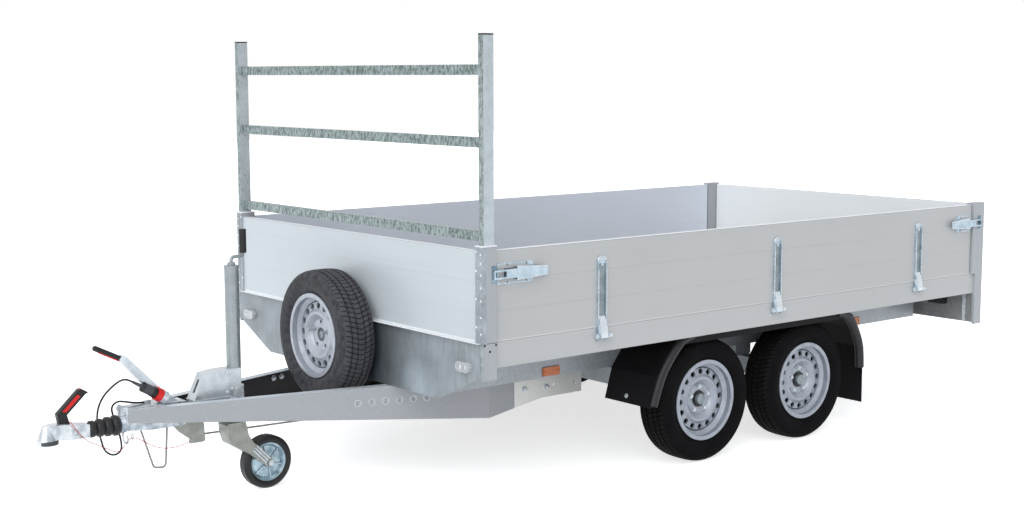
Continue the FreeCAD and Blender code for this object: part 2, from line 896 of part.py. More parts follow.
def bent_wire(points, radii):
    """Straight runs joined by tangent arcs of the given radii."""
    points = [vector(point) for point in points]
    edges = []
    start = points[0]
    for index in range(1, len(points) - 1):
        before = (points[index - 1] - points[index]).normalize()
        after = (points[index + 1] - points[index]).normalize()
        half_turn = (math.pi - before.getAngle(after)) / 2
        setback = radii[index - 1] * math.tan(half_turn)
        first = points[index] + before * setback
        last = points[index] + after * setback
        inward = (before + after).normalize()
        centre = points[index] + inward * (radii[index - 1] / math.cos(half_turn))
        edges.append(Part.LineSegment(start, first).toShape())
        edges.append(Part.Arc(first, centre - inward * radii[index - 1], last).toShape())
        start = last
    edges.append(Part.LineSegment(start, points[-1]).toShape())
    return Part.Wire(edges)


def bent_bar(points, radii, diameter):
    """A round bar along straight runs and tangent arcs."""
    wire = bent_wire(points, radii)
    start = vector(points[0])
    heading = vector(points[1]) - start
    circle = Part.Wire([Part.makeCircle(diameter / 2, start, heading)])
    return wire.makePipeShell([circle], True, False)


def feature(name, shape):
    """A sub-part shaped by Part's own functions from the sheet's values."""
    item = doc.addObject("Part::Feature", name)
    item.Shape = shape
    item.Placement = FreeCAD.Placement()
    return item


def free_radii(points):
    """Each arc's radius: 0.45 of the shorter run over the tangent of half the turn."""
    radii = []
    vectors = [vector(point) for point in points]
    for before, here, after in zip(vectors, vectors[1:], vectors[2:]):
        turn = (here - before).getAngle(after - here)
        shorter = min((here - before).Length, (after - here).Length)
        radii.append(RUN_SHARE * shorter / math.tan(turn / 2))
    return radii


# Routes of the free cables, as distances ahead of the bed, to the left and above the ground

CABLE_ROUTE = [
    (1022, 32.5, 536), (1045, 32.5, 550), (1071, 27, 549), (1098, 8, 524), (1126, -22, 482),
    (1137, -55, 421), (1125, -84, 346), (1107, -96, 295), (1096, -92, 245), (1068, -71, 225),
    (1040, -50, 245), (1044, -48, 295), (1056, -52, 345), (1072, -54, 395), (1079, -52, 430),
    (1058, -38, 453), (1025, -26, 447), (988, -22, 438), (GLAND_AHEAD + 0.3, -CABLE_SIDE, 436),
]
WIRE_ROUTE = [
    (1284, 12.3, 414), (1284, 31, 417), (1271, 44, 393), (1246, 44, 354), (1208, 36, 324), (1164, 20, 300),
    (1114, 4, 273), (1081, -4, 254), (1056, -2, 268), (1040, 4, 300), (1014, 8, 309), (977, 9, 288),
    (930, 8.5, 257), (882, 8, 241), (832, 5, 239), (799.5, 1, 242), (768.6, 0, 251),
]


# Hand brake lever and grip, with the plug's parking socket on the lever.
# The lever's foot is drawn from its pivot and its head from the point where the grip begins.

LEVER_FOOT = (-71, 2)
LEVER_HEAD = [(7, -7), (16, 4), (2, 22), (-15, 14)]
LEVER_HEEL = (-6, 54)
GRIP_START = (2, 4)


def hand_brake():
    pivot_x = ahead(d.lever_pivot_back)
    tip = (ahead(d.lever_tip_back), 0, d.lever_tip_up)
    end = (ahead(d.grip_tip_back), 0, d.grip_tip_up)
    body = new_body("BrakeLever")
    half = d.lever_width / 2
    outline = [(pivot_x + x, d.housing_top) for x in LEVER_FOOT]
    outline += [(tip[0] + x, tip[2] + z) for x, z in LEVER_HEAD]
    outline += [(pivot_x + LEVER_HEEL[0], d.housing_top + LEVER_HEEL[1])]
    pad(body, "XZ", (-half, half), [outline])
    park_start = vector((ahead(CABLE_ROUTE[0][0]), CABLE_ROUTE[0][1], CABLE_ROUTE[0][2]))
    back = FreeCAD.Vector(-math.cos(PLUG_SLOPE), 0, -math.sin(PLUG_SLOPE))
    park_start = park_start + back * (d.plug_relief.number + d.plug_body.number)
    socket = feature("ParkingSocket", Part.makeCylinder(d.park_radius.number, d.park_length.number,
                                                        park_start, back))
    rod_start = vector((tip[0] + GRIP_START[0], 0, tip[2] + GRIP_START[1]))
    grip_end = vector(end)
    heading = grip_end - rod_start
    radius = d.grip_radius.number
    grip = Part.makeCylinder(radius, heading.Length, rod_start, heading)
    grip = grip.fuse(Part.makeSphere(radius, grip_end)).removeSplitter()
    grip_item = feature("BrakeGrip", grip)
    reach = d.lever_width + 2 * d.park_radius
    under = box("UnderSocket", (ahead(d.drawbar_reach) - d.housing_length, tip[0]), (-reach, reach),
                (d.housing_bottom, d.housing_top))
    tools = fuse("LeverTools", [grip_item, under])
    finish(cut("BrakeLeverTrim", fuse("BrakeLeverWhole", [body, socket]), tools), "handbrake_lever")
    finish(feature("BrakeGripPiece", grip), "handbrake_grip")


# Jockey wheel

jockey_x = ahead(d.jockey_back)
wheel_x = jockey_x - d.castor_trail
leg_radius = d.jockey_tube - d.jockey_tube_wall - d.fit


def jockey_tubes():
    bottom, top = d.jockey_tube_bottom, d.jockey_tube_top
    outer = cylinder("OuterTube", "Z", (jockey_x, 0, bottom), d.jockey_tube, top - bottom)
    bore = cylinder("OuterBore", "Z", (jockey_x, 0, bottom - PAST), d.jockey_tube - d.jockey_tube_wall,
                    top - bottom - d.jockey_cap)
    finish(cut("JockeyOuter", outer, bore), "jockey_outer_tube")
    leg_bottom = d.fork_top - d.leg_seat
    leg = cylinder("Leg", "Z", (jockey_x, 0, leg_bottom), leg_radius, d.leg_up - leg_bottom)
    finish(leg, "jockey_leg")


# The bracket's foot, knee and top, as distances ahead of the bed and above the ground
CLAMP_FRONT = [(759, 423), (711, 526), (655, 534)]
CLAMP_SLOT = (449, 502)


def jockey_clamp():
    """A folded bracket on a cross plate, with a sloping slotted wall and a ring around the tube."""
    low, high = d.clamp_bottom, d.clamp_bottom + d.clamp_height
    wall = d.fork_plate
    plate_x = (jockey_x + d.clamp_ring, jockey_x + d.clamp_ring + d.clamp_plate)
    reach = drawbar_half_gap(plate_x[1], d.drawbar_wall)
    plate_top = rail_bottom - d.drawbar_nose_drop - d.drawbar_wall - d.ear_gap
    plate = box("ClampPlate", plate_x, (-reach, reach), (low - d.clamp_plate_drop, plate_top))
    ring = cylinder("ClampRing", "Z", (jockey_x, 0, low), d.clamp_ring + 2, high - low)
    bracket = new_body("ClampBracket")
    inner = d.jockey_tube + 2 * d.fit
    foot, knee, top = [(ahead(x), as_size(z)) for x, z in CLAMP_FRONT]
    rear = jockey_x - d.clamp_back
    skirt = plate_top - d.clamp_skirt
    outline = [(foot[0], plate_top), knee, top, (rear, top[1]), (rear, skirt), (foot[0], skirt)]
    pad(bracket, "XZ", (-inner - wall, inner + wall), [outline])
    hollow = [
        (foot[0] - wall, plate_top), (knee[0] - wall, knee[1] - wall), (top[0], top[1] - wall),
        (rear - PAST, top[1] - wall), (rear - PAST, skirt - PAST), (foot[0] - wall, skirt - PAST),
    ]
    pocket(bracket, "XZ", (-inner, inner), [hollow])
    slot_y = (-d.clamp_slot_half, d.clamp_slot_half)
    pocket(bracket, "YZ", (knee[0], foot[0] + PAST), [rectangle(slot_y, CLAMP_SLOT)])
    wing = inner + 3 * wall
    base = box("ClampBase", (plate_x[0], foot[0]), (-wing, wing), (plate_top - wall, plate_top))
    bore = cylinder("ClampBore", "Z", (jockey_x, 0, low - PAST), d.jockey_tube + d.fit,
                    top[1] - low + 2 * PAST)
    solid = fuse("ClampSolid", [plate, ring, bracket, base])
    finish(cut("Clamp", solid, bore), "jockey_clamp")


def jockey_crank():
    handle_x = jockey_x - d.crank_throw
    rise = d.jockey_tube_top + d.crank_rise
    points = [
        (jockey_x, 0, d.jockey_tube_top), (jockey_x, 0, rise), (handle_x, 0, rise),
        (handle_x, 0, d.crank_grip_top),
    ]
    bend = d.crank_bend.number
    rod = bent_bar(points, [bend, bend], 2 * d.crank_rod.number)
    boss = Part.makeCylinder(d.crank_boss.number, d.crank_boss_height.number,
                             vector((jockey_x, 0, d.jockey_tube_top)))
    height = d.crank_grip_top - d.crank_grip_bottom
    grip = Part.makeCylinder(d.crank_grip.number, height.number,
                             vector((handle_x, 0, d.crank_grip_bottom)))
    finish(feature("Crank", rod.fuse(boss).cut(grip)), "jockey_crank")
    finish(feature("CrankGrip", grip), "crank_grip")


# The fork's cheek: its head drawn from the leg's axis at the fork's top, its eye from the wheel's axle
FORK_FRONT = [(52, 0), (58, -8), (54, -50), (40, -88), (-44, -142)]
FORK_EYE = [(18, -12), (8, -17), (-10, -15), (-17, 0), (-12, 14)]
FORK_REAR = [(-62, -94), (-42, -60), (-31, -12), (-28, 0)]


def jockey_fork():
    """Two cheeks that carry the wheel, closed over the leg's foot."""
    gap = d.jockey_width / 2 + d.fork_gap
    body = new_body("Fork")
    z = d.jockey_radius
    cheek = [(jockey_x + x, d.fork_top + up) for x, up in FORK_FRONT]
    cheek += [(wheel_x + x, z + up) for x, up in FORK_EYE]
    cheek += [(jockey_x + x, d.fork_top + up) for x, up in FORK_REAR]
    pad(body, "XZ", (-gap - d.fork_plate, gap + d.fork_plate), [cheek])
    clear = d.jockey_radius + d.fork_gap
    pocket(body, "XZ", (-gap, gap), circles=[(wheel_x, z, clear)])
    web = rectangle((wheel_x - clear, jockey_x + FORK_REAR[2][0]), (0, d.fork_top + PAST))
    pocket(body, "XZ", (-gap, gap), [web])
    pocket(body, "XY", (d.fork_top - d.leg_seat, d.fork_top), circles=[(jockey_x, 0, leg_radius + d.fit)])
    reach = gap + d.fork_plate + d.jockey_axle
    axle_bar = cylinder("ForkAxle", "Y", (wheel_x, -reach, z), d.jockey_axle, 2 * reach)
    finish(fuse("ForkWithAxle", [body, axle_bar]), "jockey_fork")


# Half profiles of the jockey wheel, as distances in from its side and from the rim's edge
JOCKEY_TYRE = [(6, 0), (0, 12)]
JOCKEY_TREAD = [(3, -8), (12, 0)]


def jockey_wheel():
    half = d.jockey_width / 2
    rim_radius, radius = d.jockey_rim_radius, d.jockey_radius
    near = [(half - side, rim_radius + up) for side, up in JOCKEY_TYRE]
    near += [(half - side, radius + up) for side, up in JOCKEY_TREAD]
    tyre = new_body("JockeyTyre")
    revolve(tyre, near + [(-place_y, r) for place_y, r in near[::-1]])
    place(tyre, wheel_x, 0, radius)
    finish(tyre, "jockey_tyre")
    rim = new_body("JockeyRim")
    bore = d.jockey_axle + d.fit
    outer = rim_radius - d.fit
    near = [(half, bore), (half, bore + 12), (half - 16, bore + 16), (8, outer - 16), (half - 10, outer - 6),
            (half - 7, outer)]
    revolve(rim, near + [(-place_y, r) for place_y, r in near[::-1]])
    place(rim, wheel_x, 0, radius)
    finish(rim, "jockey_rim")


# Posts, front board and ladder rack

def rack_span(side):
    return across(side, post_outer - d.rack_depth, post_outer)


rack_x = (d.bed_front - d.rack_forward - d.rack_length, d.bed_front - d.rack_forward)


def front_posts():
    """Hollow posts closed by a cap that the rack's legs pass through."""
    posts = []
    for side in (1, -1):
        y = across(side, post_inner, post_outer)
        x = (d.bed_front - d.post_length, d.bed_front)
        body = new_body("FrontPost")
        wall = d.post_wall
        pad(body, "XY", (d.rave_top, d.post_top), [rectangle(x, y)])
        outer_side = across(side, half_width, post_outer)
        pad(body, "XY", (d.post_bottom, d.rave_top), [rectangle(x, outer_side)])
        strip_x = (d.bed_front, d.bed_front + d.post_strip)
        pad(body, "XY", (d.rave_top, d.post_top), [rectangle(strip_x, y)])
        wrap_x = (d.bed_front - d.post_strip_wrap, strip_x[1])
        wrap_y = across(side, post_outer, post_outer + d.post_strip_side)
        pad(body, "XY", (d.rave_top, d.post_top), [rectangle(wrap_x, wrap_y)])
        pocket(body, "XY", (d.rave_top, d.rack_foot), [rectangle((x[0] + wall, x[1] - wall),
                                                                 (y[0] + wall, y[1] - wall))])
        leg = rack_span(side)
        pocket(body, "XY", (d.rack_foot, d.post_top), [rectangle((rack_x[0] - d.fit, rack_x[1] + d.fit),
                                                                 (leg[0] - d.fit, leg[1] + d.fit))])
        posts.append(body)
    finish(group("FrontPosts", posts), "front_posts")


def rear_posts():
    posts = []
    for side in (1, -1):
        y = across(side, post_inner, post_outer)
        x = (bed_rear, bed_rear + d.rear_post_length)
        body = new_body("RearPost")
        pad(body, "XY", (d.rave_top, d.rear_post_top), [rectangle(x, y)])
        outer_side = across(side, half_width, post_outer)
        foot_x = (bed_rear, behind(d.lamp_board_inset) - d.lamp_board_thickness)
        pad(body, "XY", (d.rear_post_bottom, d.rave_top), [rectangle(foot_x, outer_side)])
        wall = d.post_wall
        inside = rectangle((x[0] + wall, x[1] - wall), (y[0] + wall, y[1] - wall))
        pocket(body, "XY", (d.rave_top, d.rear_post_top - d.rear_post_cap), [inside])
        posts.append(body)
    finish(group("RearPosts", posts), "rear_posts")


def rack():
    """Two square legs joined by three rungs, with plastic caps on the legs."""
    pieces = []
    caps = []
    for side in (1, -1):
        y = rack_span(side)
        pieces.append(square_tube("RackLeg", rack_x, y, (d.rack_foot, d.rack_top), d.rack_wall, "Z"))
        caps.append(box("RackCap", rack_x, y, (d.rack_top, d.rack_top + d.rack_cap)))
    inner = post_outer - d.rack_depth
    middle = rack_x[1] - d.rack_length / 2
    x = (middle - d.rung_depth / 2, middle + d.rung_depth / 2)
    for height in (d.rung_low, d.rung_middle, d.rung_high):
        pieces.append(box("Rung", x, (-inner, inner), (height, height + d.rung_height)))
    finish(fuse("Rack", pieces), "ladder_rack")
    finish(group("RackCaps", caps), "rack_caps")


def board_section(face, outward):
    """Section of a plank board from its outer face: three planks with a groove at each joint."""
    plank = d.board_height / 3
    groove = d.groove
    thick = d.board_thickness
    outer_side = [(0, board_bottom)]
    inner_side = [(thick, board_bottom)]
    for index in (1, 2):
        joint = board_bottom + plank * index
        outer_side += [(0, joint - groove), (groove, joint), (0, joint + groove)]
        inner_side += [(thick, joint - groove), (thick - groove, joint), (thick, joint + groove)]
    edge = d.board_edge
    outer_side += [(0, board_top - edge), (edge, board_top)]
    inner_side += [(thick, board_top - edge), (thick - edge, board_top)]
    points = outer_side + inner_side[::-1]
    return [(face - outward * as_size(depth), height) for depth, height in points]


def side_board(side, label):
    body = new_body(label)
    x = (bed_rear + d.rear_post_length + d.board_end_gap, d.bed_front - d.post_length - d.board_end_gap)
    pad(body, "YZ", x, [board_section(side * half_width, side)])
    return finish(body, label)


def end_boards():
    inner = post_inner
    front = new_body("FrontBoard")
    section = board_section(d.bed_front - d.front_board_inset, 1)
    pad(front, "XZ", (-inner, inner), [section])
    finish(front, "front_board")
    rear = new_body("Tailboard")
    reach = post_inner - d.board_end_gap
    pad(rear, "XZ", (-reach, reach), [board_section(bed_rear, -1)])
    finish(rear, "tailboard")


# Strap hinges and over-centre latches, drawn for a board whose face looks along one direction

STRAP_KNEE = (12, 4, 6)
STRAP_FOOT = (3, 4)
RIB_ENDS = (10, 8, 40)
RIB_SLOPE = 0.6
EAR_OUTLINE = [(0, 20), (14, 10), (23, 4)]


def strap(name, centre, face, outward, along):
    """A pressed channel strap with the eye that turns on the hinge pin."""
    axis_place = face + outward * as_size(d.hinge_out)
    half = d.strap_width / 2

    def at(depth, height):
        return (face + outward * as_size(depth), height)
    plane = "YZ" if along == "X" else "XZ"
    body = new_body(name)
    sheet_t = d.strap_thickness
    knee, spread, lift = STRAP_KNEE
    shape = [
        at(0, board_bottom + STRAP_FOOT[0]), at(0, d.strap_top), at(sheet_t, d.strap_top),
        at(sheet_t, board_bottom + knee), at(d.hinge_out + spread, d.hinge_height + lift),
        at(d.hinge_out - spread, d.hinge_height + lift), at(STRAP_FOOT[0], board_bottom - STRAP_FOOT[1]),
    ]
    pad(body, plane, (centre - half, centre + half), [shape])
    rib_low, rib_end, rib_run = RIB_ENDS
    rib = [
        at(0, board_bottom + rib_low), at(0, d.strap_top - rib_end),
        at(d.strap_rib * RIB_SLOPE, d.strap_top - rib_end), at(d.strap_rib, d.strap_top - rib_run),
        at(d.strap_rib, board_bottom + rib_low),
    ]
    for low in (centre - half, centre + half - sheet_t):
        pad(body, plane, (low, low + sheet_t), [rib])
    pad(body, plane, (centre - half, centre + half), circles=[(axis_place, d.hinge_height, d.eye_radius)])
    pocket(body, plane, (centre - half - PAST, centre + half + PAST),
           circles=[(axis_place, d.hinge_height, d.pin_radius + d.fit)])
    return body


def hinge_bracket(name, centre, face, outward, along):
    """Two ears on the edge profile with the pin between them, its head on one side."""
    axis_place = face + outward * as_size(d.hinge_out)
    plane = "YZ" if along == "X" else "XZ"
    near = d.strap_width / 2 + d.ear_gap
    far = near + d.ear_thickness
    body = new_body(name)
    upper = [(face + outward * as_size(out), d.hinge_height + up) for out, up in EAR_OUTLINE]
    lower = [(face + outward * as_size(out), d.hinge_height - up) for out, up in EAR_OUTLINE]
    pin_span = (centre - far - d.pin_tip, centre + far)
    pad(body, plane, pin_span, circles=[(axis_place, d.hinge_height, d.pin_radius)])
    for low, high in ((centre - far, centre - near), (centre + near, centre + far)):
        pad(body, plane, (low, high), [upper + lower[::-1]])
    return body


def latch(name, face, outward, start, away, post, shift, bail_shift):
    """Base plate, tapered channel lever and bail; away leads from the post's edge at start."""
    body = new_body(name)
    middle = d.latch_height

    def run(distance):
        return start + away * as_size(distance)

    def out(low, high):
        first, second = face + outward * as_size(low), face + outward * as_size(high)
        return (first, second) if outward > 0 else (second, first)

    def block(length, depth, height):
        low, high = run(length[0]), run(length[1])
        points = [(low, height[0]), (high, height[0]), (high, height[1]), (low, height[1])]
        pad(body, "XZ", out(*depth), [points])

    base = d.latch_base_thickness
    half_base = d.latch_base_height / 2
    base_start = post + 2 * d.board_end_gap
    base_end = d.latch_base_end - shift
    shoulder = base_end - half_base / 2
    outline = [
        (run(base_start), middle - half_base), (run(shoulder), middle - half_base), (run(base_end), middle),
        (run(shoulder), middle + half_base), (run(base_start), middle + half_base),
    ]
    pad(body, "XZ", out(0, base), [outline])
    wide, slim = d.latch_lever_height / 2, d.latch_lever_tip / 2
    lever_start = d.latch_lever_start - shift
    length = d.latch_lever_length
    top = base + d.latch_lever_depth
    wall = d.latch_lever_wall

    def half_lever(distance):
        return wide - (wide - slim) * distance / length
    pad(body, "XZ", out(top - wall, top), [[
        (run(lever_start), middle - wide), (run(lever_start + length), middle - slim),
        (run(lever_start + length), middle + slim), (run(lever_start), middle + wide),
    ]])
    cheek_end = run(lever_start + d.latch_cheek)
    narrow = half_lever(d.latch_cheek)
    for sign in (1, -1):
        pad(body, "XZ", out(base, top), [[
            (run(lever_start), middle + sign * wide), (cheek_end, middle + sign * narrow),
            (cheek_end, middle + sign * (narrow - wall)), (run(lever_start), middle + sign * (wide - wall)),
        ]])
    bar = d.latch_bail_bar
    arm = (d.post_proud + bar / 2, d.post_proud + bar * 1.5)
    bail_end = d.latch_bail_end - bail_shift
    reach = d.catch_tongue_height / 2 + bar + d.latch_loop_room
    arm_end = lever_start + d.latch_overlap
    for low in (middle - reach, middle + reach - bar):
        block((bail_end, arm_end), arm, (low, low + bar))
    block((bail_end, bail_end + bar), arm, (middle - reach, middle + reach))
    block((lever_start - d.latch_loop, arm_end), arm, (middle - reach, middle + reach))
    return body


def catch(name, face, outward, start, away, shift):
    """A plate on the post with the tongue that the bail reaches over."""
    body = new_body(name)
    middle = d.latch_height

    def run(low, high):
        first, second = start + away * as_size(low), start + away * as_size(high)
        return (first, second) if away > 0 else (second, first)

    def out(low, high):
        first, second = face + outward * as_size(low), face + outward * as_size(high)
        return (first, second) if outward > 0 else (second, first)

    tongue = d.catch_tongue_height / 2
    place_on = d.catch_start - shift
    plate_run = run(d.latch_bail_end - shift - d.catch_edge, place_on + d.catch_tongue + d.post_strip)
    pad(body, "XZ", out(d.post_proud, d.post_proud + d.catch_plate),
        [rectangle(plate_run, (middle - d.catch_plate_down, middle + d.catch_plate_up))])
    pad(body, "XZ", out(d.post_proud, d.post_proud + d.catch_reach),
        [rectangle(run(place_on, place_on + d.catch_tongue), (middle - tongue, middle + tongue))])
    return body


def hardware():
    brackets = []
    catches = []
    hinge_places = (d.hinge_first, d.hinge_second, d.hinge_third)
    for side, name in ((1, "left"), (-1, "right")):
        face = side * half_width
        fittings = []
        for index, place_behind in enumerate(hinge_places):
            centre = behind(place_behind)
            fittings.append(strap(f"Strap{name}{index}", centre, face, side, "X"))
            brackets.append(hinge_bracket(f"Bracket{name}{index}", centre, face, side, "X"))
        ends = ((d.bed_front, -1, d.post_length, 0, 0),
                (bed_rear, 1, d.rear_post_length, d.rear_latch_shift, d.rear_catch_shift))
        for index, (start, away, post, shift, bail_shift) in enumerate(ends):
            fittings.append(latch(f"Latch{name}{index}", face, side, start, away, post, shift, bail_shift))
            catches.append(catch(f"Catch{name}{index}", face, side, start, away, bail_shift))
        finish(group(f"Fittings{name}", fittings), f"board_fittings_{name}")
    tail = []
    for index, centre in enumerate((-d.tail_hinge_spread, as_size(0), d.tail_hinge_spread)):
        tail.append(strap(f"TailStrap{index}", centre, bed_rear, -1, "Y"))
        brackets.append(hinge_bracket(f"TailBracket{index}", centre, bed_rear, -1, "Y"))
    finish(group("TailFittings", tail), "tailboard_fittings")
    finish(group("Brackets", brackets), "hinge_brackets")
    finish(group("Catches", catches), "latch_catches")


# Front skirt and the position lamps on it

def front_skirt():
    body = new_body("Skirt")
    outline = [
        (-half_width, d.skirt_side_bottom), (d.skirt_chamfer - half_width, d.skirt_bottom),
        (half_width - d.skirt_chamfer, d.skirt_bottom), (half_width, d.skirt_side_bottom),
        (half_width, d.rave_top), (-half_width, d.rave_top),
    ]
    pad(body, "YZ", (d.bed_front, ahead(d.skirt_thickness)), [outline])
    pad(body, "XY", (d.rave_top - d.skirt_thickness, d.rave_top),
        [rectangle((d.bed_front, ahead(d.skirt_lip)), (-half_width, half_width))])
    return finish(body, "front_skirt")


def rounded_block(name, x, y, z, radius):
    """A block with its four edges along X rounded."""
    block = box(name + "Block", x, y, z)
    doc.recompute()
    rounded = doc.addObject("Part::Fillet", name)
    rounded.Base = block
    edges = []
    for index, edge in enumerate(block.Shape.Edges, start=1):
        heading = edge.tangentAt(edge.FirstParameter)
        if abs(heading.x) > abs(heading.y) + abs(heading.z):
            edges.append((index, radius, radius))
    rounded.Edges = edges
    return rounded


def front_lamps():
    lamps = []
    for side in (1, -1):
        y = across(side, d.front_lamp_inner, d.front_lamp_outer)
        z = (d.front_lamp_bottom, d.front_lamp_bottom + d.front_lamp_height)
        x = (ahead(d.skirt_thickness), ahead(d.skirt_thickness + d.front_lamp_depth))
        lamps.append(rounded_block("FrontLamp", x, y, z, d.front_lamp_corner.number))
    finish(group("FrontLamps", lamps), "front_lamps")


# Road wheels and axles

# Profiles of a wheel, as (distance out of the wheel's middle, radius). The disc's face rises to a
# crest inside its holes and dips to the hub; its back follows a sheet's thickness behind.
DISC_FACE = [(36, 140), (39, 112), (47, 101), (47, 90), (36, 76), (26, 66)]
DISC_BACK = [(20, 68), (30, 80), (41, 93), (41, 98), (33, 109), (30, 138)]
DISC_EDGE = (24, 16)
DISC_DEPTH = (20, 26)
HOLE_SPAN = (10, 50)
BOLT_SPAN = (24, 38)
HUB_CAP = [(40, 0), (44, -4)]
DRUM_BACK = (-30, -40, -86)
RIM_STEPS = (6, 24, 36, 2)


def wheel_rim(label, x, y, z, side, forward=False):
    """A steel wheel: barrel, pressed disc with a ring of holes, bolts, hub cap and brake drum."""
    half = d.rim_width / 2
    sheet_t = d.rim_sheet
    bead, flange, well = d.bead_radius, d.flange_radius, d.rim_well
    stub = d.stub_radius + d.fit
    edge, slope, drop, turn_in = RIM_STEPS
    inner_bead, inner_well = bead - sheet_t, well - sheet_t
    disc_back, disc_face = DISC_DEPTH
    body = new_body(label)
    points = [
        (-half, flange), (edge - half, flange), (edge - half, bead), (slope + turn_in - half, bead),
        (drop + turn_in - half, well), (half - drop - 2 * turn_in, well), (half - slope - turn_in, bead),
        (half - edge, bead), (half - edge, flange), (half, flange), (half, inner_bead),
        (half - slope, inner_bead), (half - drop - turn_in, inner_well), (DISC_EDGE[0], inner_well),
    ]
    points += DISC_FACE + [(disc_face, stub), (disc_back, stub)] + DISC_BACK
    points += [(DISC_EDGE[1], inner_well), (drop - half, inner_well), (slope - half, inner_bead),
               (-half, inner_bead)]
    revolve(body, points)
    hole = pocket(body, "XZ", HOLE_SPAN, circles=[(0, d.disc_hole_circle, d.disc_hole_radius)])
    repeat_around(body, hole, d.disc_hole_count)
    bolt_circle = [(0, d.bolt_circle, d.bolt_radius)]
    if forward:
        repeat_around(body, pocket(body, "XZ", HOLE_SPAN, circles=bolt_circle), d.bolt_count)
    else:
        repeat_around(body, pad(body, "XZ", BOLT_SPAN, circles=bolt_circle), d.bolt_count)
        drum = d.drum_radius
        front, inside, back = DRUM_BACK
        thick = d.drum_wall
        revolve(body, [(disc_back, stub), (disc_back + PAST, d.hub_flange), (front, drum), (back, drum),
                       (back, drum - thick), (inside, drum - thick), (front, stub)])
        cap = [(out, d.hub_radius + up) for out, up in HUB_CAP]
        revolve(body, [(disc_back, 0), (disc_back, d.hub_radius)] + cap + [(HUB_CAP[1][0], 0)])
    turn = 0 if side > 0 else 180
    if forward:
        turn = -90
    body.Placement = FreeCAD.Placement(FreeCAD.Vector(), FreeCAD.Rotation(FreeCAD.Vector(0, 0, 1), turn))
    place(body, x, y, z)
    return finish(body, label)


TYRE_SHOULDER = [(7, 14), (30, 0)]


def wheel_tyre(label, x, y, z, forward=False):
    half = d.tyre_width / 2
    radius = d.tyre_radius
    bead = d.bead_radius + d.fit
    seat = d.rim_width / 2 - 2 * d.rim_sheet
    outer = [(seat, bead), (seat, d.flange_radius + d.rim_sheet), (half, d.flange_radius + d.tyre_bulge)]
    outer += [(half - inward, radius - down) for inward, down in TYRE_SHOULDER]
    body = new_body(label)
    revolve(body, outer + [(-y_value, r) for y_value, r in outer[::-1]])
    if forward:
        body.Placement = FreeCAD.Placement(FreeCAD.Vector(), FreeCAD.Rotation(FreeCAD.Vector(0, 0, 1), -90))
    place(body, x, y, z)
    return finish(body, label)


# A trailing arm's side outline: its eye drawn from the wheel's axle, its root from the axle tube
ARM_EYE = [(-34, -22), (-34, 20), (-14, 40)]
ARM_ROOT = [(8, 40), (-10, 20)]
ARM_UNDER = (-10, -36)


def axle(index, inset):
    """A torsion axle: square tube under the rails, trailing arms, stub shafts and brake plates."""
    centre = behind(inset)
    tube_x = centre + d.axle_lead
    half = d.axle_tube / 2
    arm_inner = d.arm_outer - d.arm_thickness
    low, high = d.axle_height - half, d.axle_height + half
    pieces = [box(f"AxleTube{index}", (tube_x - half, tube_x + half), (-arm_inner, arm_inner), (low, high))]
    for side in (1, -1):
        body = new_body(f"Arm{index}")
        z = d.tyre_radius
        outline = [(centre + along, z + up) for along, up in ARM_EYE]
        outline += [(tube_x - half, high), (tube_x + half, high)]
        outline += [(tube_x + along, low + up) for up, along in ARM_ROOT]
        outline += [(centre + ARM_UNDER[0], z + ARM_UNDER[1])]
        pad(body, "XZ", across(side, arm_inner, d.arm_outer), [outline])
        plate = across(side, d.arm_outer, d.arm_outer + d.brake_plate)
        pad(body, "XZ", plate, circles=[(centre, z, d.drum_radius)])
        hub_end = half_width - d.wheel_inset + DISC_DEPTH[0]
        pad(body, "XZ", across(side, d.arm_outer, hub_end - d.fit), circles=[(centre, z, d.stub_radius)])
        pieces.append(body)
        bracket = across(side, d.rail_outer - d.rail_width, d.rail_outer)
        reach = half + d.axle_plate_reach
        pieces.append(box(f"AxlePlate{index}", (tube_x - reach, tube_x + reach), bracket,
                          (high, rail_bottom)))
    names = {1: "axle_front", 2: "axle_rear"}
    return finish(fuse(f"Axle{index}", pieces), names[index])


def spare_wheel():
    x = ahead(d.spare_back)
    wheel_rim("spare_rim", x, 0, d.spare_height, 1, forward=True)
    wheel_tyre("spare_tyre", x, 0, d.spare_height, forward=True)
    half, high = d.carrier_width / 2, d.carrier_height / 2
    seat = x + DISC_DEPTH[0]
    body = new_body("Carrier")
    y = (-half, half)
    z = (d.spare_height - high, d.spare_height + high)
    wall = d.carrier_wall
    pad(body, "YZ", (ahead(d.skirt_thickness), seat), [rectangle(y, z),
                                                      rectangle((y[0] + wall, y[1] - wall),
                                                                (z[0] + wall, z[1] - wall))])
    pad(body, "YZ", (seat - wall, seat), [rectangle(y, z)])
    pieces = [body]
    turn = math.tau / d.bolt_count.number
    for sign in (1, -1):
        stud_y = sign * d.bolt_circle * math.sin(turn)
        stud_z = d.spare_height + d.bolt_circle * math.cos(turn)
        pieces.append(cylinder("SpareStud", "X", (seat - wall, stud_y, stud_z), d.stud_radius,
                               d.stud_length))
        pieces.append(cylinder("SpareNut", "X", (seat + d.nut_gap + d.fit, stud_y, stud_z), d.nut_radius,
                               d.nut_height))
    finish(fuse("CarrierWithStuds", pieces), "spare_carrier")


# Mudguards over both wheels of a side, with a rolled outer lip and flaps

# Points of the mudguard's side line: distance along from its end, height and how far a line drawn
# inside it moves in. Heights of the feet are above its foot, the others below the bed's edge profile.
GUARD_REAR_FOOT = [(-90, 0, 1), (-90, 100, 1)]
GUARD_REAR_TURN = [(-44, 90, 1), (6, 18, 0.5), (60, 0, 0)]
GUARD_FRONT_TURN = [(-170, 0, 0), (-110, 20, 0.5), (-54, 78, 1), (6, 160, 1)]
GUARD_FRONT_FOOT = (46, 0, 1)


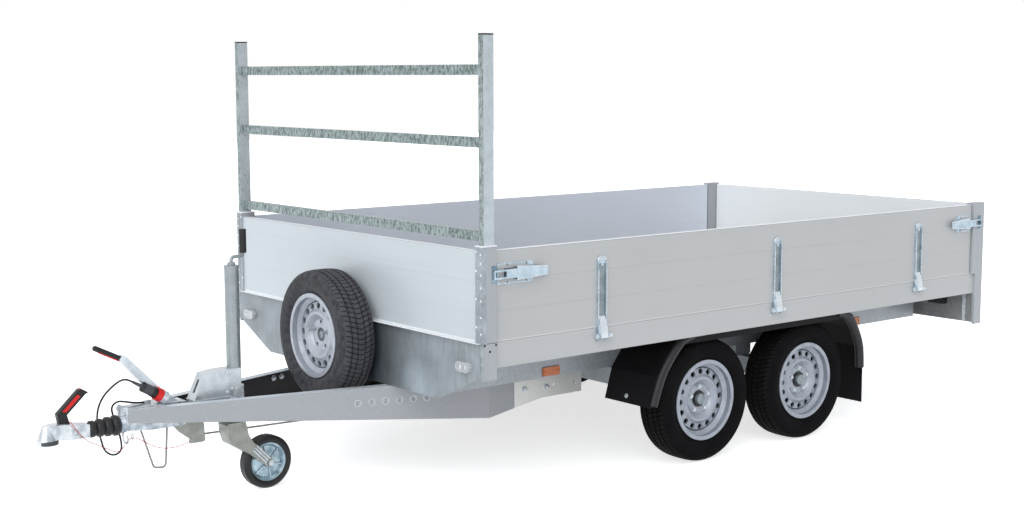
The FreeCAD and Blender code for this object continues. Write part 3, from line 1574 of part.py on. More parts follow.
def guard_line(inset):
    """Side line of the mudguard's top, from the rear foot over both wheels to the front foot."""
    front, rear = behind(d.guard_front), behind(d.guard_rear)
    inner = as_size(inset)
    line = [(rear + along + inner * move, d.guard_foot + up) for along, up, move in GUARD_REAR_FOOT]
    for along, down, move in GUARD_REAR_TURN:
        sunk = inner if down <= 18 else 0 * inner
        line.append((rear + along + inner * move, rave_bottom - down - sunk))
    for along, down, move in GUARD_FRONT_TURN:
        sunk = inner if down <= 20 else 0 * inner
        line.append((front + along - inner * move, rave_bottom - down - sunk))
    along, up, move = GUARD_FRONT_FOOT
    line.append((front + along - inner * move, d.guard_foot + up))
    return line


def mudguard(side, label):
    body = new_body(label)
    sheet_outline = guard_line(0) + guard_line(d.guard_sheet)[::-1]
    pad(body, "XZ", across(side, d.guard_inner, d.guard_outer), [sheet_outline])
    lip_outline = guard_line(0) + guard_line(d.guard_lip)[::-1]
    pad(body, "XZ", across(side, d.guard_outer - d.guard_lip_width, d.guard_outer), [lip_outline])
    rear = behind(d.guard_rear) + GUARD_REAR_FOOT[0][0]
    pad(body, "XZ", across(side, d.guard_inner + d.flap_inset, d.guard_outer - d.guard_lip_width),
        [rectangle((rear - d.flap_thickness, rear), (d.flap_bottom, d.guard_foot + d.flap_lap))])
    return finish(body, label)


# Lamps and reflectors

def rear_lamps():
    board_x = behind(d.lamp_board_inset)
    x = (board_x - d.lamp_board_thickness, board_x)
    reach = half_width
    board = box("LampBoard", x, (-reach, reach), (d.lamp_board_bottom, rave_bottom))
    finish(board, "lamp_board")
    lamps = []
    for side in (1, -1):
        outer = half_width - d.lamp_inset
        y = across(side, outer - d.lamp_width, outer)
        low = d.lamp_board_bottom + d.lamp_rise
        lamps.append(rounded_block("RearLamp", (x[0] - d.lamp_depth, x[0]), y, (low, low + d.lamp_height),
                                   d.lamp_corner.number))
    finish(group("RearLamps", lamps), "rear_lamps")


def side_reflectors():
    pieces = []
    for side in (1, -1):
        y = across(side, d.rail_outer, d.rail_outer + d.reflector_depth)
        for inset in (d.reflector_front, d.reflector_back):
            x = (behind(inset + d.reflector_length), behind(inset))
            low = rail_bottom + d.reflector_up
            pieces.append(box("Reflector", x, y, (low, low + d.reflector_height)))
    finish(group("Reflectors", pieces), "side_reflectors")


# Brake linkage and wire bow under the coupling

# Places are distances ahead of the bed, with heights above the ground
LINK_OUTLINE = [(706, 313), (702, 248), (712, 243), (768, 243), (768, 262), (814, 296), (838, 324)]
LINK_ROOT = (838, 710)
ROD_FRONT = 716
BOW_LEGS = (984, 866)
BOW_FOOT = [(930, 170), (878, 162)]


def underside():
    """The bow that guards the wire, and the brake lever under the housing with its long rod."""
    top = d.housing_bottom
    sunk = top + d.bow_diameter
    points = [(ahead(BOW_LEGS[0]), 0, sunk)] + [(ahead(x), 0, z) for x, z in BOW_FOOT]
    points += [(ahead(BOW_LEGS[1]), 0, sunk)]
    bend = 2 * d.bow_diameter.number
    bow = feature("WireBowBar", bent_bar(points, [bend, bend], d.bow_diameter.number))
    above = box("AboveBow", (ahead(BOW_LEGS[1]) - d.lever_width, ahead(BOW_LEGS[0]) + d.lever_width),
                (-d.lever_width, d.lever_width), (top, d.housing_top))
    finish(cut("WireBow", bow, above), "wire_bow")
    lever = new_body("BrakeLink")
    outline = [(ahead(x), top) for x in LINK_ROOT] + [(ahead(x), z) for x, z in LINK_OUTLINE]
    pad(lever, "XZ", (-d.bow_diameter, d.bow_diameter), [outline])
    rod_radius = d.bow_diameter / 2
    rod_start = (ahead(ROD_FRONT), -d.rod_offset, d.rod_height)
    pin = cylinder("LinkPin", "Y", rod_start, rod_radius, d.rod_offset)
    tube_middle = behind(d.axle_one) + d.axle_lead
    start, rod_end = vector(rod_start), vector((tube_middle, -d.rod_offset, d.rod_rear_height))
    heading = rod_end - start
    rod = feature("BrakeRodBar", Part.makeCylinder(rod_radius.number, heading.Length, start, heading))
    half = d.equaliser_length / 2
    low = d.rod_rear_height - d.equaliser_height / 2
    plate_x = (tube_middle - rod_radius, tube_middle + rod_radius)
    equaliser = box("Equaliser", plate_x, (-d.rod_offset - half, half - d.rod_offset),
                    (low, low + d.equaliser_height))
    hanger = box("EqualiserHanger", plate_x, (-d.rod_offset - d.lever_width, d.lever_width - d.rod_offset),
                 (low + d.equaliser_height, d.axle_height - d.axle_tube / 2))
    finish(fuse("BrakeRod", [lever, pin, rod, equaliser, hanger]), "brake_linkage")


# Free cables: the electric one with its parked plug, and the thin breakaway wire

RUN_SHARE = 0.45
RELIEF_TIP = 0.7


def free_cord(label, route, diameter):
    """A round cord along straight runs joined by arcs as large as the runs allow."""
    points = [(ahead(x), y, z) for x, y, z in route]
    radii = free_radii(points)
    wire = bent_wire(points, radii)
    tube = bent_bar(points, radii, diameter.number)
    section = math.pi * diameter.number ** 2 / 4
    print(label, "length", round(wire.Length), "tightest arc", round(min(radii), 1),
          "volume ratio", round(tube.Volume / (section * wire.Length), 4))
    return finish(feature(label, tube), label)


def cables():
    """Both free cables, and the plug parked beside the brake lever in its socket."""
    free_cord("electric_cable", CABLE_ROUTE, d.cable_diameter)
    free_cord("breakaway_cable", WIRE_ROUTE, d.wire_diameter)
    exit_x, plug_y, exit_z = CABLE_ROUTE[0]
    exit_point = vector((ahead(exit_x), plug_y, exit_z))
    back = FreeCAD.Vector(-math.cos(PLUG_SLOPE), 0, -math.sin(PLUG_SLOPE))
    cable, radius = d.cable_diameter.number, d.plug_radius.number
    relief_length, body_length = d.plug_relief.number, d.plug_body.number
    relief = Part.makeCone(cable * RELIEF_TIP, cable, relief_length, exit_point, back)
    shell = Part.makeCylinder(radius, body_length, exit_point + back * relief_length, back)
    finish(feature("Plug", relief.fuse(shell).removeSplitter()), "plug")


side_rave(1, "rave_left")
side_rave(-1, "rave_right")
end_raves()
floor_board()
chassis()
drawbar_beam(1, "drawbar_left")
drawbar_beam(-1, "drawbar_right")
overrun_housing()
bellows()
coupling_head()
coupling_handle()
hand_brake()
jockey_tubes()
jockey_clamp()
jockey_crank()
jockey_fork()
jockey_wheel()
front_posts()
rear_posts()
rack()
side_board(1, "side_board_left")
side_board(-1, "side_board_right")
end_boards()
hardware()
front_skirt()
front_lamps()
wheel_y = half_width - d.wheel_inset
for side, side_name in ((1, "left"), (-1, "right")):
    for inset, row_name in ((d.axle_one, "front"), (d.axle_two, "rear")):
        wheel_rim(f"rim_{row_name}_{side_name}", behind(inset), side * wheel_y, d.tyre_radius, side)
        wheel_tyre(f"tyre_{row_name}_{side_name}", behind(inset), side * wheel_y, d.tyre_radius)
axle(1, d.axle_one)
axle(2, d.axle_two)
spare_wheel()
mudguard(1, "mudguard_left")
mudguard(-1, "mudguard_right")
rear_lamps()
side_reflectors()
underside()
cables()

doc.recompute()
faults = [item.Label for item in doc.Objects if "Invalid" in item.State or "Error" in item.State]
for node in nodes:
    if node.Shape.isNull() or not node.Shape.isValid():
        faults.append(node.Label)
if faults:
    raise RuntimeError("not built: " + ", ".join(faults))
for node in nodes:
    node.Shape.exportStep(f"parts/{node.Label}.step")
whole = Part.makeCompound([node.Shape for node in nodes])
print(len(nodes), "sub-parts, box", whole.BoundBox)
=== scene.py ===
# %% [markdown]
# # A tandem trailer, dressed from its CAD model
# The CAD parts come in as a fixed frame: every tube, board and wheel already sits where it
# belongs, in metres, with +X towards the coupling, +Y to the left and +Z up. This notebook
# adds what a camera sees: finishes, tread, cables, bolts and small trim.

# %% Load the frame
import json
import math
import bmesh
import bpy
from mathutils import Matrix, Vector

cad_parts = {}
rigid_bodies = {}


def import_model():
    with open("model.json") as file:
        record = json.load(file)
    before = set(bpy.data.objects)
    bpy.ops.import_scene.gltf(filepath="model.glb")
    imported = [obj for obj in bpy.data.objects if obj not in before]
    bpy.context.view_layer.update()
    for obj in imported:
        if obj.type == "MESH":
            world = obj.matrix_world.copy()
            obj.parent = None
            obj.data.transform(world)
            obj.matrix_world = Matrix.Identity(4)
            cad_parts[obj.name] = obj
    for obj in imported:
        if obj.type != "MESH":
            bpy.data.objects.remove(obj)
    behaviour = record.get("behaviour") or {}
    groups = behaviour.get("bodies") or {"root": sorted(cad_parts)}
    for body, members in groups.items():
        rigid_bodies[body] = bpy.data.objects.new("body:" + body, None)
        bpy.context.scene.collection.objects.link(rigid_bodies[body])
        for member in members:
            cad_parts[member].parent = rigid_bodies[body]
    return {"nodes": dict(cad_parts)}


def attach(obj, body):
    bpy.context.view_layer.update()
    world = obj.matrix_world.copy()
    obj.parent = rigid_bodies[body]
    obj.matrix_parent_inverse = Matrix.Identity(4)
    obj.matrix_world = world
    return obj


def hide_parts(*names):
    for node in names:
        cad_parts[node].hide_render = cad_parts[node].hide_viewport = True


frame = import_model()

scene = bpy.context.scene
nodes = frame["nodes"]
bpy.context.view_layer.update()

SIDES = {"left": 1, "right": -1}
BED_FRONT, BED_LENGTH, HALF_WIDTH = 0.964, 3.307, 0.949


def ahead(distance):
    """X of a place that lies a distance in front of the bed."""
    return BED_FRONT + distance


def behind(distance):
    """X of a place that lies a distance behind the bed's front edge."""
    return BED_FRONT - distance


# %% [markdown]
# ## Camera
# The trailer is seen from its front left corner, a little above the load floor. A camera needs
# a place and a direction; the direction is turned into a rotation whose -Z axis looks along it.
# The lens is a short telephoto, so the rear end still looks smaller than the front.

# %% Camera
CAMERA_PLACE = (4.4857, 5.4966, 1.7382)
GAZE = Vector((-0.6239, -0.7718, -0.1228)).normalized()
ROLL = math.radians(-0.126)
camera_data = bpy.data.cameras.new("corner_camera")
camera_data.lens = 53.0
camera_data.sensor_width = 36
camera = bpy.data.objects.new("corner_camera", camera_data)
scene.collection.objects.link(camera)
turn = GAZE.to_track_quat("-Z", "Y").to_matrix().to_4x4()
camera.matrix_world = Matrix.Translation(CAMERA_PLACE) @ turn @ Matrix.Rotation(ROLL, 4, "Z")
scene.camera = camera
print("camera looks along", [round(v, 3) for v in GAZE])

# %% [markdown]
# ## The two free cables
# A cable hangs under its own weight, so it is drawn as one smooth curve whose control points
# follow the CAD tube's route. The thick black one carries the lamp current; its plug is parked
# beside the brake lever. The thin red one is a steel wire in plastic that pulls the brake on if
# the trailer breaks away. The spline's order and its ends are set after its points are added,
# because a spline with too few points would drop back to straight runs. The thickness is in the
# radius of the points, on a bevel one metre deep: a curve's bounds grow by that radius, which
# is a whole metre unless it is set.

# %% Cable curves
def smooth_curve(name, places, radius, steps, rings):
    """A round rod along one smooth spline, as a curve."""
    data = bpy.data.curves.new(name, "CURVE")
    data.dimensions = "3D"
    data.resolution_u, data.bevel_resolution = steps, rings
    data.bevel_depth = 1.0
    data.use_fill_caps = True
    spline = data.splines.new("NURBS")
    spline.points.add(len(places) - 1)
    for point, place in zip(spline.points, places):
        point.co, point.radius = (*place, 1), radius
    spline.order_u = 3
    spline.use_endpoint_u = True
    curve = bpy.data.objects.new(name, data)
    scene.collection.objects.link(curve)
    return curve


def cable_curve(name, route, diameter):
    """A cable through a route whose x is counted from the bed's front edge."""
    return smooth_curve(name, [(ahead(x), y, z) for x, y, z in route], diameter / 2, 12, 4)


CABLE_DIAMETER = 0.008
WIRE_DIAMETER = 0.003
CABLE_ROUTE = [
    (1.022, 0.0325, 0.536), (1.045, 0.0325, 0.550), (1.071, 0.027, 0.549), (1.098, 0.008, 0.524),
    (1.126, -0.022, 0.482), (1.137, -0.055, 0.421), (1.125, -0.084, 0.346), (1.107, -0.096, 0.295),
    (1.096, -0.092, 0.245), (1.068, -0.071, 0.225), (1.040, -0.050, 0.245), (1.044, -0.048, 0.295),
    (1.056, -0.052, 0.345), (1.072, -0.054, 0.395), (1.079, -0.052, 0.430), (1.058, -0.038, 0.453),
    (1.025, -0.026, 0.447), (0.988, -0.022, 0.438), (0.9523, -0.022, 0.436),
]
WIRE_ROUTE = [
    (1.284, 0.0123, 0.414), (1.284, 0.031, 0.417), (1.271, 0.044, 0.393), (1.246, 0.044, 0.354),
    (1.208, 0.036, 0.324), (1.164, 0.020, 0.300), (1.114, 0.004, 0.273), (1.081, -0.004, 0.254),
    (1.056, -0.002, 0.268), (1.040, 0.004, 0.300), (1.014, 0.008, 0.309), (0.977, 0.009, 0.288),
    (0.930, 0.0085, 0.257), (0.882, 0.008, 0.241), (0.832, 0.005, 0.239), (0.7995, 0.001, 0.242),
    (0.7686, 0.0, 0.251),
]
lamp_cable = cable_curve("lamp_cable", CABLE_ROUTE, CABLE_DIAMETER)
brake_wire = cable_curve("brake_wire", WIRE_ROUTE, WIRE_DIAMETER)


def line_length(curve):
    """Length of a curve's own line, measured on a copy without thickness."""
    thin = curve.copy()
    thin.data = curve.data.copy()
    thin.data.bevel_depth = 0
    mesh = bpy.data.meshes.new_from_object(thin)
    points = [vertex.co for vertex in mesh.vertices]
    bpy.data.objects.remove(thin)
    return sum((b - a).length for a, b in zip(points, points[1:]))


print("cable lengths", [round(line_length(curve), 3) for curve in (lamp_cable, brake_wire)])
for cable in (lamp_cable, brake_wire):
    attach(cable, "chassis")
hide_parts("electric_cable")
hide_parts("breakaway_cable")

# %% [markdown]
# ## Nodes for finishes
# A finish is a small network: coordinates, a pattern or two, a ramp that turns the pattern
# into colour, and a bump for relief. These helpers keep each finish to a few lines. A socket
# and a node both know the tree they are in, so the helpers find it by themselves. The
# patterns read Object coordinates, which are metres here, so a scale of 70 means about
# seventy cells in a metre.

# %% Node helpers
def add_node(owner, kind, inputs=(), **settings):
    """Adds a node to its owner's tree; each input gets a link from a socket or a value."""
    tree = owner.id_data
    node = tree.nodes.new("ShaderNode" + kind)
    for setting, value in settings.items():
        setattr(node, setting, value)
    for name, value in dict(inputs).items():
        if isinstance(value, bpy.types.NodeSocket):
            tree.links.new(value, node.inputs[name])
        else:
            node.inputs[name].default_value = value
    return node


def math_node(operation, one, two=0.0):
    return add_node(one, "Math", {0: one, 1: two}, operation=operation).outputs[0]


def new_finish(name, **values):
    """A material and its principled shader, whose plain values are set on its own sockets."""
    material = bpy.data.materials.new(name)
    material.use_nodes = True
    shader = material.node_tree.nodes["Principled BSDF"]
    for socket, value in values.items():
        shader.inputs[socket.replace("_", " ")].default_value = value
    return material, shader


def feed(shader, **sockets):
    """Links a socket to each named input of a shader."""
    for name, socket in sockets.items():
        shader.id_data.links.new(socket, shader.inputs[name.replace("_", " ")])


# %% Coordinates, patterns and colours
def coordinates(owner, stretch=(1, 1, 1), kind="Object"):
    """Coordinates of a kind, stretched along each axis."""
    source = add_node(owner, "TexCoord").outputs[kind]
    return add_node(owner, "Mapping", {"Vector": source, "Scale": stretch}).outputs["Vector"]


def axis_value(owner, axis, kind="Object"):
    """One axis of the coordinates: metres for Object, -1 to 1 for Normal."""
    return add_node(owner, "SeparateXYZ", {0: coordinates(owner, kind=kind)}).outputs[axis]


def noise(where, scale, detail=3, rough=0.5):
    """A soft random pattern; more detail adds finer and finer waves."""
    inputs = {"Vector": where, "Scale": scale, "Detail": detail, "Roughness": rough}
    return add_node(where, "TexNoise", inputs).outputs["Fac"]


def cells(where, scale, kind="F1", output="Color"):
    """Random cells; Color is one random value a cell, Distance grows from its middle."""
    node = add_node(where, "TexVoronoi", {"Vector": where, "Scale": scale}, feature=kind)
    if output == "Color":
        return add_node(where, "SeparateColor", {"Color": node.outputs["Color"]}).outputs["Red"]
    return node.outputs[output]


def ramp(factor, low, high, start=0.0, end=1.0):
    """Turns a factor into a colour between two, from start to end."""
    node = add_node(factor, "ValToRGB", {"Fac": factor})
    first, last = node.color_ramp.elements
    first.position, last.position = start, end
    first.color, last.color = (*low, 1), (*high, 1)
    return node.outputs["Color"]


def span(factor, low, high, start=0.0, end=1.0):
    """Turns a factor into a number between two."""
    inputs = {"Value": factor, "From Min": start, "From Max": end, "To Min": low, "To Max": high}
    return add_node(factor, "MapRange", inputs).outputs["Result"]


def mix_colour(factor, one, two, way="MIX"):
    """Mixes two colours by a socket or a number."""
    inputs = {0: factor, 6: one, 7: two}
    return add_node(one, "Mix", inputs, data_type="RGBA", blend_type=way).outputs[2]


def multiply(one, two):
    return mix_colour(1.0, one, two, "MULTIPLY")


def relief(shader, height, distance, strength=1.0):
    """Gives the shader a bump of a height in metres."""
    inputs = {"Height": height, "Distance": distance, "Strength": strength}
    feed(shader, Normal=add_node(shader, "Bump", inputs).outputs["Normal"])


# %% [markdown]
# ## Light and background
# The photograph has an even, overcast light and a plain white ground. The world lights the
# trailer softly at a level where a colour renders about as it is written, and shows as pure
# white only to the camera and in reflections. Two very soft suns add the brighter sky above
# and in front.

# %% Light and world
def seen_straight(owner):
    """1 on a ray from the camera or off a mirror, 0 on the rays that carry light."""
    rays = add_node(owner, "LightPath").outputs
    return math_node("MAXIMUM", rays["Is Camera Ray"], rays["Is Glossy Ray"])


scene.view_settings.view_transform = "Standard"
world = bpy.data.worlds.new("studio")
scene.world = world
world.use_nodes = True
sky = world.node_tree
sky.nodes.clear()
lit = add_node(sky, "Background", {"Color": (0.90, 0.95, 1.0, 1), "Strength": 0.50})
seen = add_node(sky, "Background", {"Color": (1, 1, 1, 1), "Strength": 1.0})
choose = add_node(sky, "MixShader",
                  {0: seen_straight(sky), 1: lit.outputs[0], 2: seen.outputs[0]})
add_node(sky, "OutputWorld", {"Surface": choose.outputs[0]})


def soft_sun(name, direction, strength, spread, colour):
    """A sun lamp so wide that its shadows are soft, shining along a direction."""
    data = bpy.data.lights.new(name, "SUN")
    data.energy = strength
    data.angle = math.radians(spread)
    data.color = colour
    lamp = bpy.data.objects.new(name, data)
    lamp.rotation_euler = Vector(direction).to_track_quat("-Z", "Y").to_euler()
    scene.collection.objects.link(lamp)


soft_sun("sky_above", (-0.25, -0.20, -1.0), 0.9, 80, (0.96, 0.98, 1.0))
soft_sun("sky_ahead", (-1.0, -0.72, -0.75), 1.6, 60, (0.97, 0.99, 1.0))

# %% [markdown]
# ## Galvanised steel
# Steel dipped in molten zinc freezes into crystals, the spangle, each with its own grey and its
# own gloss. Voronoi cells with slightly bent edges give one random value a crystal, and that
# value drives both colour and roughness. On these parts the spangle is faint, so the two greys
# lie close together and slow noise adds the clouds of weathered zinc.

# %% Galvanised finish
def galvanised(name, dark, light, crystals=110, clouds=5, cloud_low=0.90, rough=0.42, metal=0.30):
    material, shader = new_finish(name, Metallic=metal, Specular_IOR_Level=0.35)
    where = coordinates(shader)
    wobble = add_node(where, "TexNoise", {"Vector": where, "Scale": crystals * 0.7})
    bent = mix_colour(0.010, where, wobble.outputs["Color"], "ADD")
    crystal = cells(bent, crystals)
    steel = ramp(crystal, dark, light)
    patch = ramp(noise(where, clouds, 5), (cloud_low,) * 3, (1.06,) * 3, 0.34, 0.68)
    feed(shader, Base_Color=multiply(steel, patch),
         Roughness=span(crystal, rough - 0.06, rough + 0.08))
    relief(shader, cells(bent, crystals, "F1", "Distance"), 0.0003, 0.15)
    return material


zinc_bright = galvanised("galvanised_bright", (0.36, 0.39, 0.42), (0.45, 0.48, 0.51))
# Painted shade: the lamp board's galvanised finish is painted darker than the rest.
zinc_painted_shade = galvanised("galvanised_painted_shade", (0.235, 0.240, 0.248), (0.300, 0.305, 0.314),
                       90, 4, 0.8, 0.5)
zinc_strip = galvanised("galvanised_strip", (0.30, 0.335, 0.36), (0.41, 0.45, 0.48),
                        85, 14, 0.82, 0.36, 0.4)
print("galvanised finishes", [finish.name for finish in (zinc_bright, zinc_painted_shade, zinc_strip)])

# %% [markdown]
# ## Skirt, rack and drawbar
# Three galvanised parts reflect their surroundings strongly enough to need more than clouds, so
# light and shade are painted into their colour. The skirt under the front board shows vertical
# streaks that ran down as the zinc cooled; it is painted darker towards its middle as the spare
# tyre's shadow and reflection, and carries one painted highlight. The rack's rungs carry painted
# reflections, dark and bright patches, while its legs stay light, so the rung pattern fades out
# beyond the legs' inner faces; the legs' faces toward the front keep most of it. The drawbar's
# beams are painted lighter where they face the sky and painted dark on their inner sides as
# shade, and their rear plate is painted lighter.

# %% Streaked zinc, and zinc with painted shadow, reflections and highlights
SKIRT_TYRE_SHADOW = ((0.02, 0.98), (0.10, 0.40), (0.30, 0.36), (0.40, 0.66), (0.50, 0.90), (0.66, 1.02))
SKIRT_HIGHLIGHT_PLACE, SKIRT_HIGHLIGHT_RADIUS = (0.966, 0.530, 0.465), 0.13
LEG_INSIDE = (0.9300, 0.9312)
PLATE_END = (0.3955, 0.3965)


def streaked(name):
    material, shader = new_finish(name, Metallic=0.30, Specular_IOR_Level=0.35)
    where = coordinates(shader)
    streak = noise(coordinates(shader, (150, 150, 5.0)), 1.0, 5, 0.6)
    steel = ramp(streak, (0.255, 0.280, 0.300), (0.345, 0.385, 0.415), 0.32, 0.68)
    patch = ramp(noise(where, 9, 5, 0.6), (0.84,) * 3, (1.08,) * 3, 0.34, 0.66)
    # Painted shadow and reflection of the spare tyre: darker towards the middle, by Y.
    across = ramp(axis_value(shader, 1), (0.19, 0.23, 0.28), (1.14, 1.14, 1.12), 0.19, 0.92)
    for position, value in SKIRT_TYRE_SHADOW:
        across.node.color_ramp.elements.new(position).color = (value, value, value, 1)
    # Painted highlight: a lighter spot round one place on the skirt.
    away = add_node(where, "VectorMath", {0: where, 1: SKIRT_HIGHLIGHT_PLACE}, operation="DISTANCE")
    painted_highlight = ramp(away.outputs["Value"], (1.75, 1.80, 1.85), (1, 1, 1), 0.0, SKIRT_HIGHLIGHT_RADIUS)
    feed(shader, Base_Color=multiply(multiply(steel, patch), multiply(across, painted_highlight)),
         Roughness=span(streak, 0.34, 0.50, 0.3, 0.7))
    return material


def painted_reflection_zinc(name):
    material, shader = new_finish(name, Metallic=0.35, Specular_IOR_Level=0.4)
    # The rung colour is painted reflections: dark and bright patches.
    patch = noise(coordinates(shader, (1, 1, 0.5)), 85, 4, 0.72)
    rung = ramp(patch, (0.100, 0.135, 0.130), (0.38, 0.445, 0.445), 0.40, 0.62)
    cloud = noise(coordinates(shader), 22, 4, 0.6)
    leg = ramp(cloud, (0.43, 0.475, 0.505), (0.50, 0.545, 0.58), 0.36, 0.64)
    beyond = span(math_node("ABSOLUTE", axis_value(shader, 1)), 0.0, 1.0, *LEG_INSIDE)
    # Faces toward the front keep most of the painted reflections, on the legs as well.
    reflects_ahead = span(axis_value(shader, 0, "Normal"), 1.0, 0.15, 0.4, 0.5)
    colour = mix_colour(math_node("MULTIPLY", beyond, reflects_ahead), rung, leg)
    feed(shader, Base_Color=colour, Roughness=span(patch, 0.24, 0.44, 0.35, 0.65))
    relief(shader, patch, 0.0006, 0.25)
    return material


def beam_finish(name, inner_side):
    """Smooth zinc whose rear plate is painted lighter, whose top is painted lighter as sky light,
    and whose inner side is painted dark as shade.
    """
    material, shader = new_finish(name, Metallic=0.30, Specular_IOR_Level=0.35)
    crystal = cells(coordinates(shader), 150)
    steel = ramp(crystal, (0.340, 0.350, 0.372), (0.372, 0.384, 0.408))
    # Painted light: the rear plate's much lighter colour, the top's painted sky light and the
    # inner side's painted shade.
    plate = ramp(crystal, (0.78, 0.77, 0.75), (0.84, 0.83, 0.81))
    shade = ramp(crystal, (0.018, 0.018, 0.020), (0.026, 0.026, 0.028))
    top = ramp(crystal, (0.56, 0.60, 0.65), (0.64, 0.68, 0.73))
    painted_plate_light = span(axis_value(shader, 0), 1.0, 0.0, *PLATE_END)
    inwards = math_node("MULTIPLY", axis_value(shader, 1, "Normal"), inner_side)
    painted_inner_shade = span(inwards, 0.0, 1.0, 0.40, 0.50)
    painted_sky_light = span(axis_value(shader, 2, "Normal"), 0.0, 1.0, 0.50, 0.60)
    side = mix_colour(painted_inner_shade, mix_colour(painted_plate_light, steel, plate), shade)
    feed(shader, Base_Color=mix_colour(painted_sky_light, side, top), Roughness=span(crystal, 0.38, 0.48))
    return material


beam_left = beam_finish("galvanised_beam_left", -1.0)
beam_right = beam_finish("galvanised_beam_right", 1.0)
zinc_skirt = streaked("galvanised_skirt")
zinc_rack = painted_reflection_zinc("galvanised_rack")
print("shaded zinc on the skirt, the rack and both beams")

# %% [markdown]
# ## Zinc plate, aluminium and silver paint
# Small fittings are zinc plated: smooth, faintly blue, with cloudy stains; one darker copy of the
# plate is painted shade. The boards are anodised aluminium with very fine draw lines along the
# planks, so their noise is stretched along the board. The right board, the front board and the
# tailboard are lighter, bluer copies of one aluminium, as painted light, and pale copies paint the
# highlights on edges. The wheels are sprayed silver, whose flakes hide until they are seen close;
# the spare's silver is painted lighter, as painted light.

# %% Plated, brushed and sprayed metals
def plated(name, dark, light, rough=0.30, metal=0.45):
    material, shader = new_finish(name, Metallic=metal, Specular_IOR_Level=0.5)
    where = coordinates(shader)
    feed(shader, Base_Color=ramp(noise(where, 26, 3, 0.5), dark, light, 0.36, 0.64),
         Roughness=span(noise(where, 40, 2), rough - 0.06, rough + 0.08, 0.3, 0.7))
    relief(shader, noise(where, 90, 2), 0.0001, 0.10)
    return material


def brushed(name, dark, light, stretch, metal=0.15):
    """Satin metal with draw lines; stretch is small along the lines and large across them."""
    material, shader = new_finish(name, Metallic=metal, Specular_IOR_Level=0.25)
    lines = noise(coordinates(shader, stretch), 1.0, 4, 0.55)
    cloud = noise(coordinates(shader), 1.4, 4, 0.55)
    dust = ramp(cloud, (0.97,) * 3, (1.02,) * 3, 0.35, 0.65)
    feed(shader, Base_Color=multiply(ramp(lines, dark, light, 0.3, 0.7), dust),
         Roughness=span(cloud, 0.38, 0.48, 0.3, 0.7))
    relief(shader, lines, 0.0001, 0.12)
    return material


def sprayed(name, dark, light, rough=0.36):
    material, shader = new_finish(name, Metallic=0.35)
    where = coordinates(shader)
    dirt = noise(where, 24, 5, 0.6)
    film = ramp(dirt, (0.86, 0.85, 0.84), (1.03,) * 3, 0.3, 0.62)
    feed(shader, Base_Color=multiply(ramp(cells(where, 1600), dark, light), film),
         Roughness=span(dirt, rough + 0.1, rough - 0.06, 0.3, 0.7))
    return material


# %% The plated, brushed and sprayed parts
plate_zinc = plated("zinc_plate", (0.50, 0.54, 0.58), (0.60, 0.64, 0.67))
plate_head = plated("zinc_plate_head", (0.42, 0.46, 0.50), (0.70, 0.73, 0.76), 0.24, 0.5)
plate_housing = plated("zinc_plate_housing", (0.27, 0.32, 0.37), (0.66, 0.70, 0.74), 0.24, 0.5)
plate_blue = plated("zinc_plate_blue", (0.33, 0.42, 0.49), (0.48, 0.57, 0.64), 0.24, 0.5)
bow_steel = plated("zinc_bow", (0.20, 0.19, 0.175), (0.30, 0.285, 0.265), 0.34, 0.4)
catch_blue = plated("zinc_plate_catch", (0.10, 0.17, 0.22), (0.26, 0.36, 0.43), 0.26, 0.6)
rim_blue = plated("zinc_plate_rim", (0.18, 0.27, 0.33), (0.42, 0.54, 0.60), 0.20, 0.6)
wedge_zinc = plated("zinc_plate_wedge", (0.60, 0.64, 0.68), (0.68, 0.72, 0.755), 0.28, 0.3)
# Painted shade: a darker copy of the zinc plate, for the strap channels' floors, the grease caps
# and the latch rivets.
plate_painted_shade = plated("zinc_plate_painted_shade", (0.17, 0.21, 0.225), (0.25, 0.29, 0.305), 0.30, 0.4)
bright_chrome = plated("chromed_dome", (0.44, 0.46, 0.48), (0.60, 0.62, 0.64), 0.16, 0.8)
plate_dark = plated("zinc_plate_dark", (0.08, 0.11, 0.15), (0.20, 0.25, 0.30), 0.30, 0.6)
plate_fork = plated("zinc_plate_fork", (0.25, 0.26, 0.24), (0.33, 0.34, 0.31), 0.34)
bright_tube = plated("bright_tube", (0.262, 0.293, 0.308), (0.305, 0.338, 0.352), 0.26, 0.5)
clear_steel = plated("bright_lever", (0.46, 0.50, 0.54), (0.62, 0.66, 0.70), 0.22, 0.5)

POST_LINES, SIDE_LINES, END_LINES = (60, 60, 3), (1.2, 40, 260), (40, 1.2, 260)
RAVE_LINES = (0.9, 60, 260)
post_metal = brushed("anodised_post", (0.395, 0.410, 0.435), (0.420, 0.435, 0.460), POST_LINES)
side_metal = brushed("anodised_side", (0.475, 0.477, 0.480), (0.495, 0.497, 0.500), SIDE_LINES)
# Painted light: the right board, the front board and the tailboard are lighter, bluer copies of
# the left board's aluminium.
inner_painted_light = brushed("anodised_inner_painted_light", (0.72, 0.77, 0.86), (0.76, 0.81, 0.90), SIDE_LINES)
end_painted_light = brushed("anodised_end_painted_light", (0.585, 0.632, 0.660), (0.615, 0.662, 0.690), END_LINES)
tail_painted_light = brushed("anodised_tail_painted_light", (0.93, 0.965, 1.0), (0.96, 0.985, 1.0), END_LINES, 0.02)
rave_metal = brushed("anodised_rave", (0.470, 0.472, 0.478), (0.500, 0.502, 0.508), RAVE_LINES)
# Painted highlights: pale copies of the aluminium for the bright lines on edges; the post caps and
# post rivets wear the palest too.
soft_highlight_metal = brushed("anodised_soft_highlight", (0.60,) * 3, (0.64,) * 3, RAVE_LINES)
pale_highlight_metal = brushed("anodised_pale_highlight", (0.84, 0.86, 0.88), (0.88, 0.90, 0.92), RAVE_LINES, 0.05)

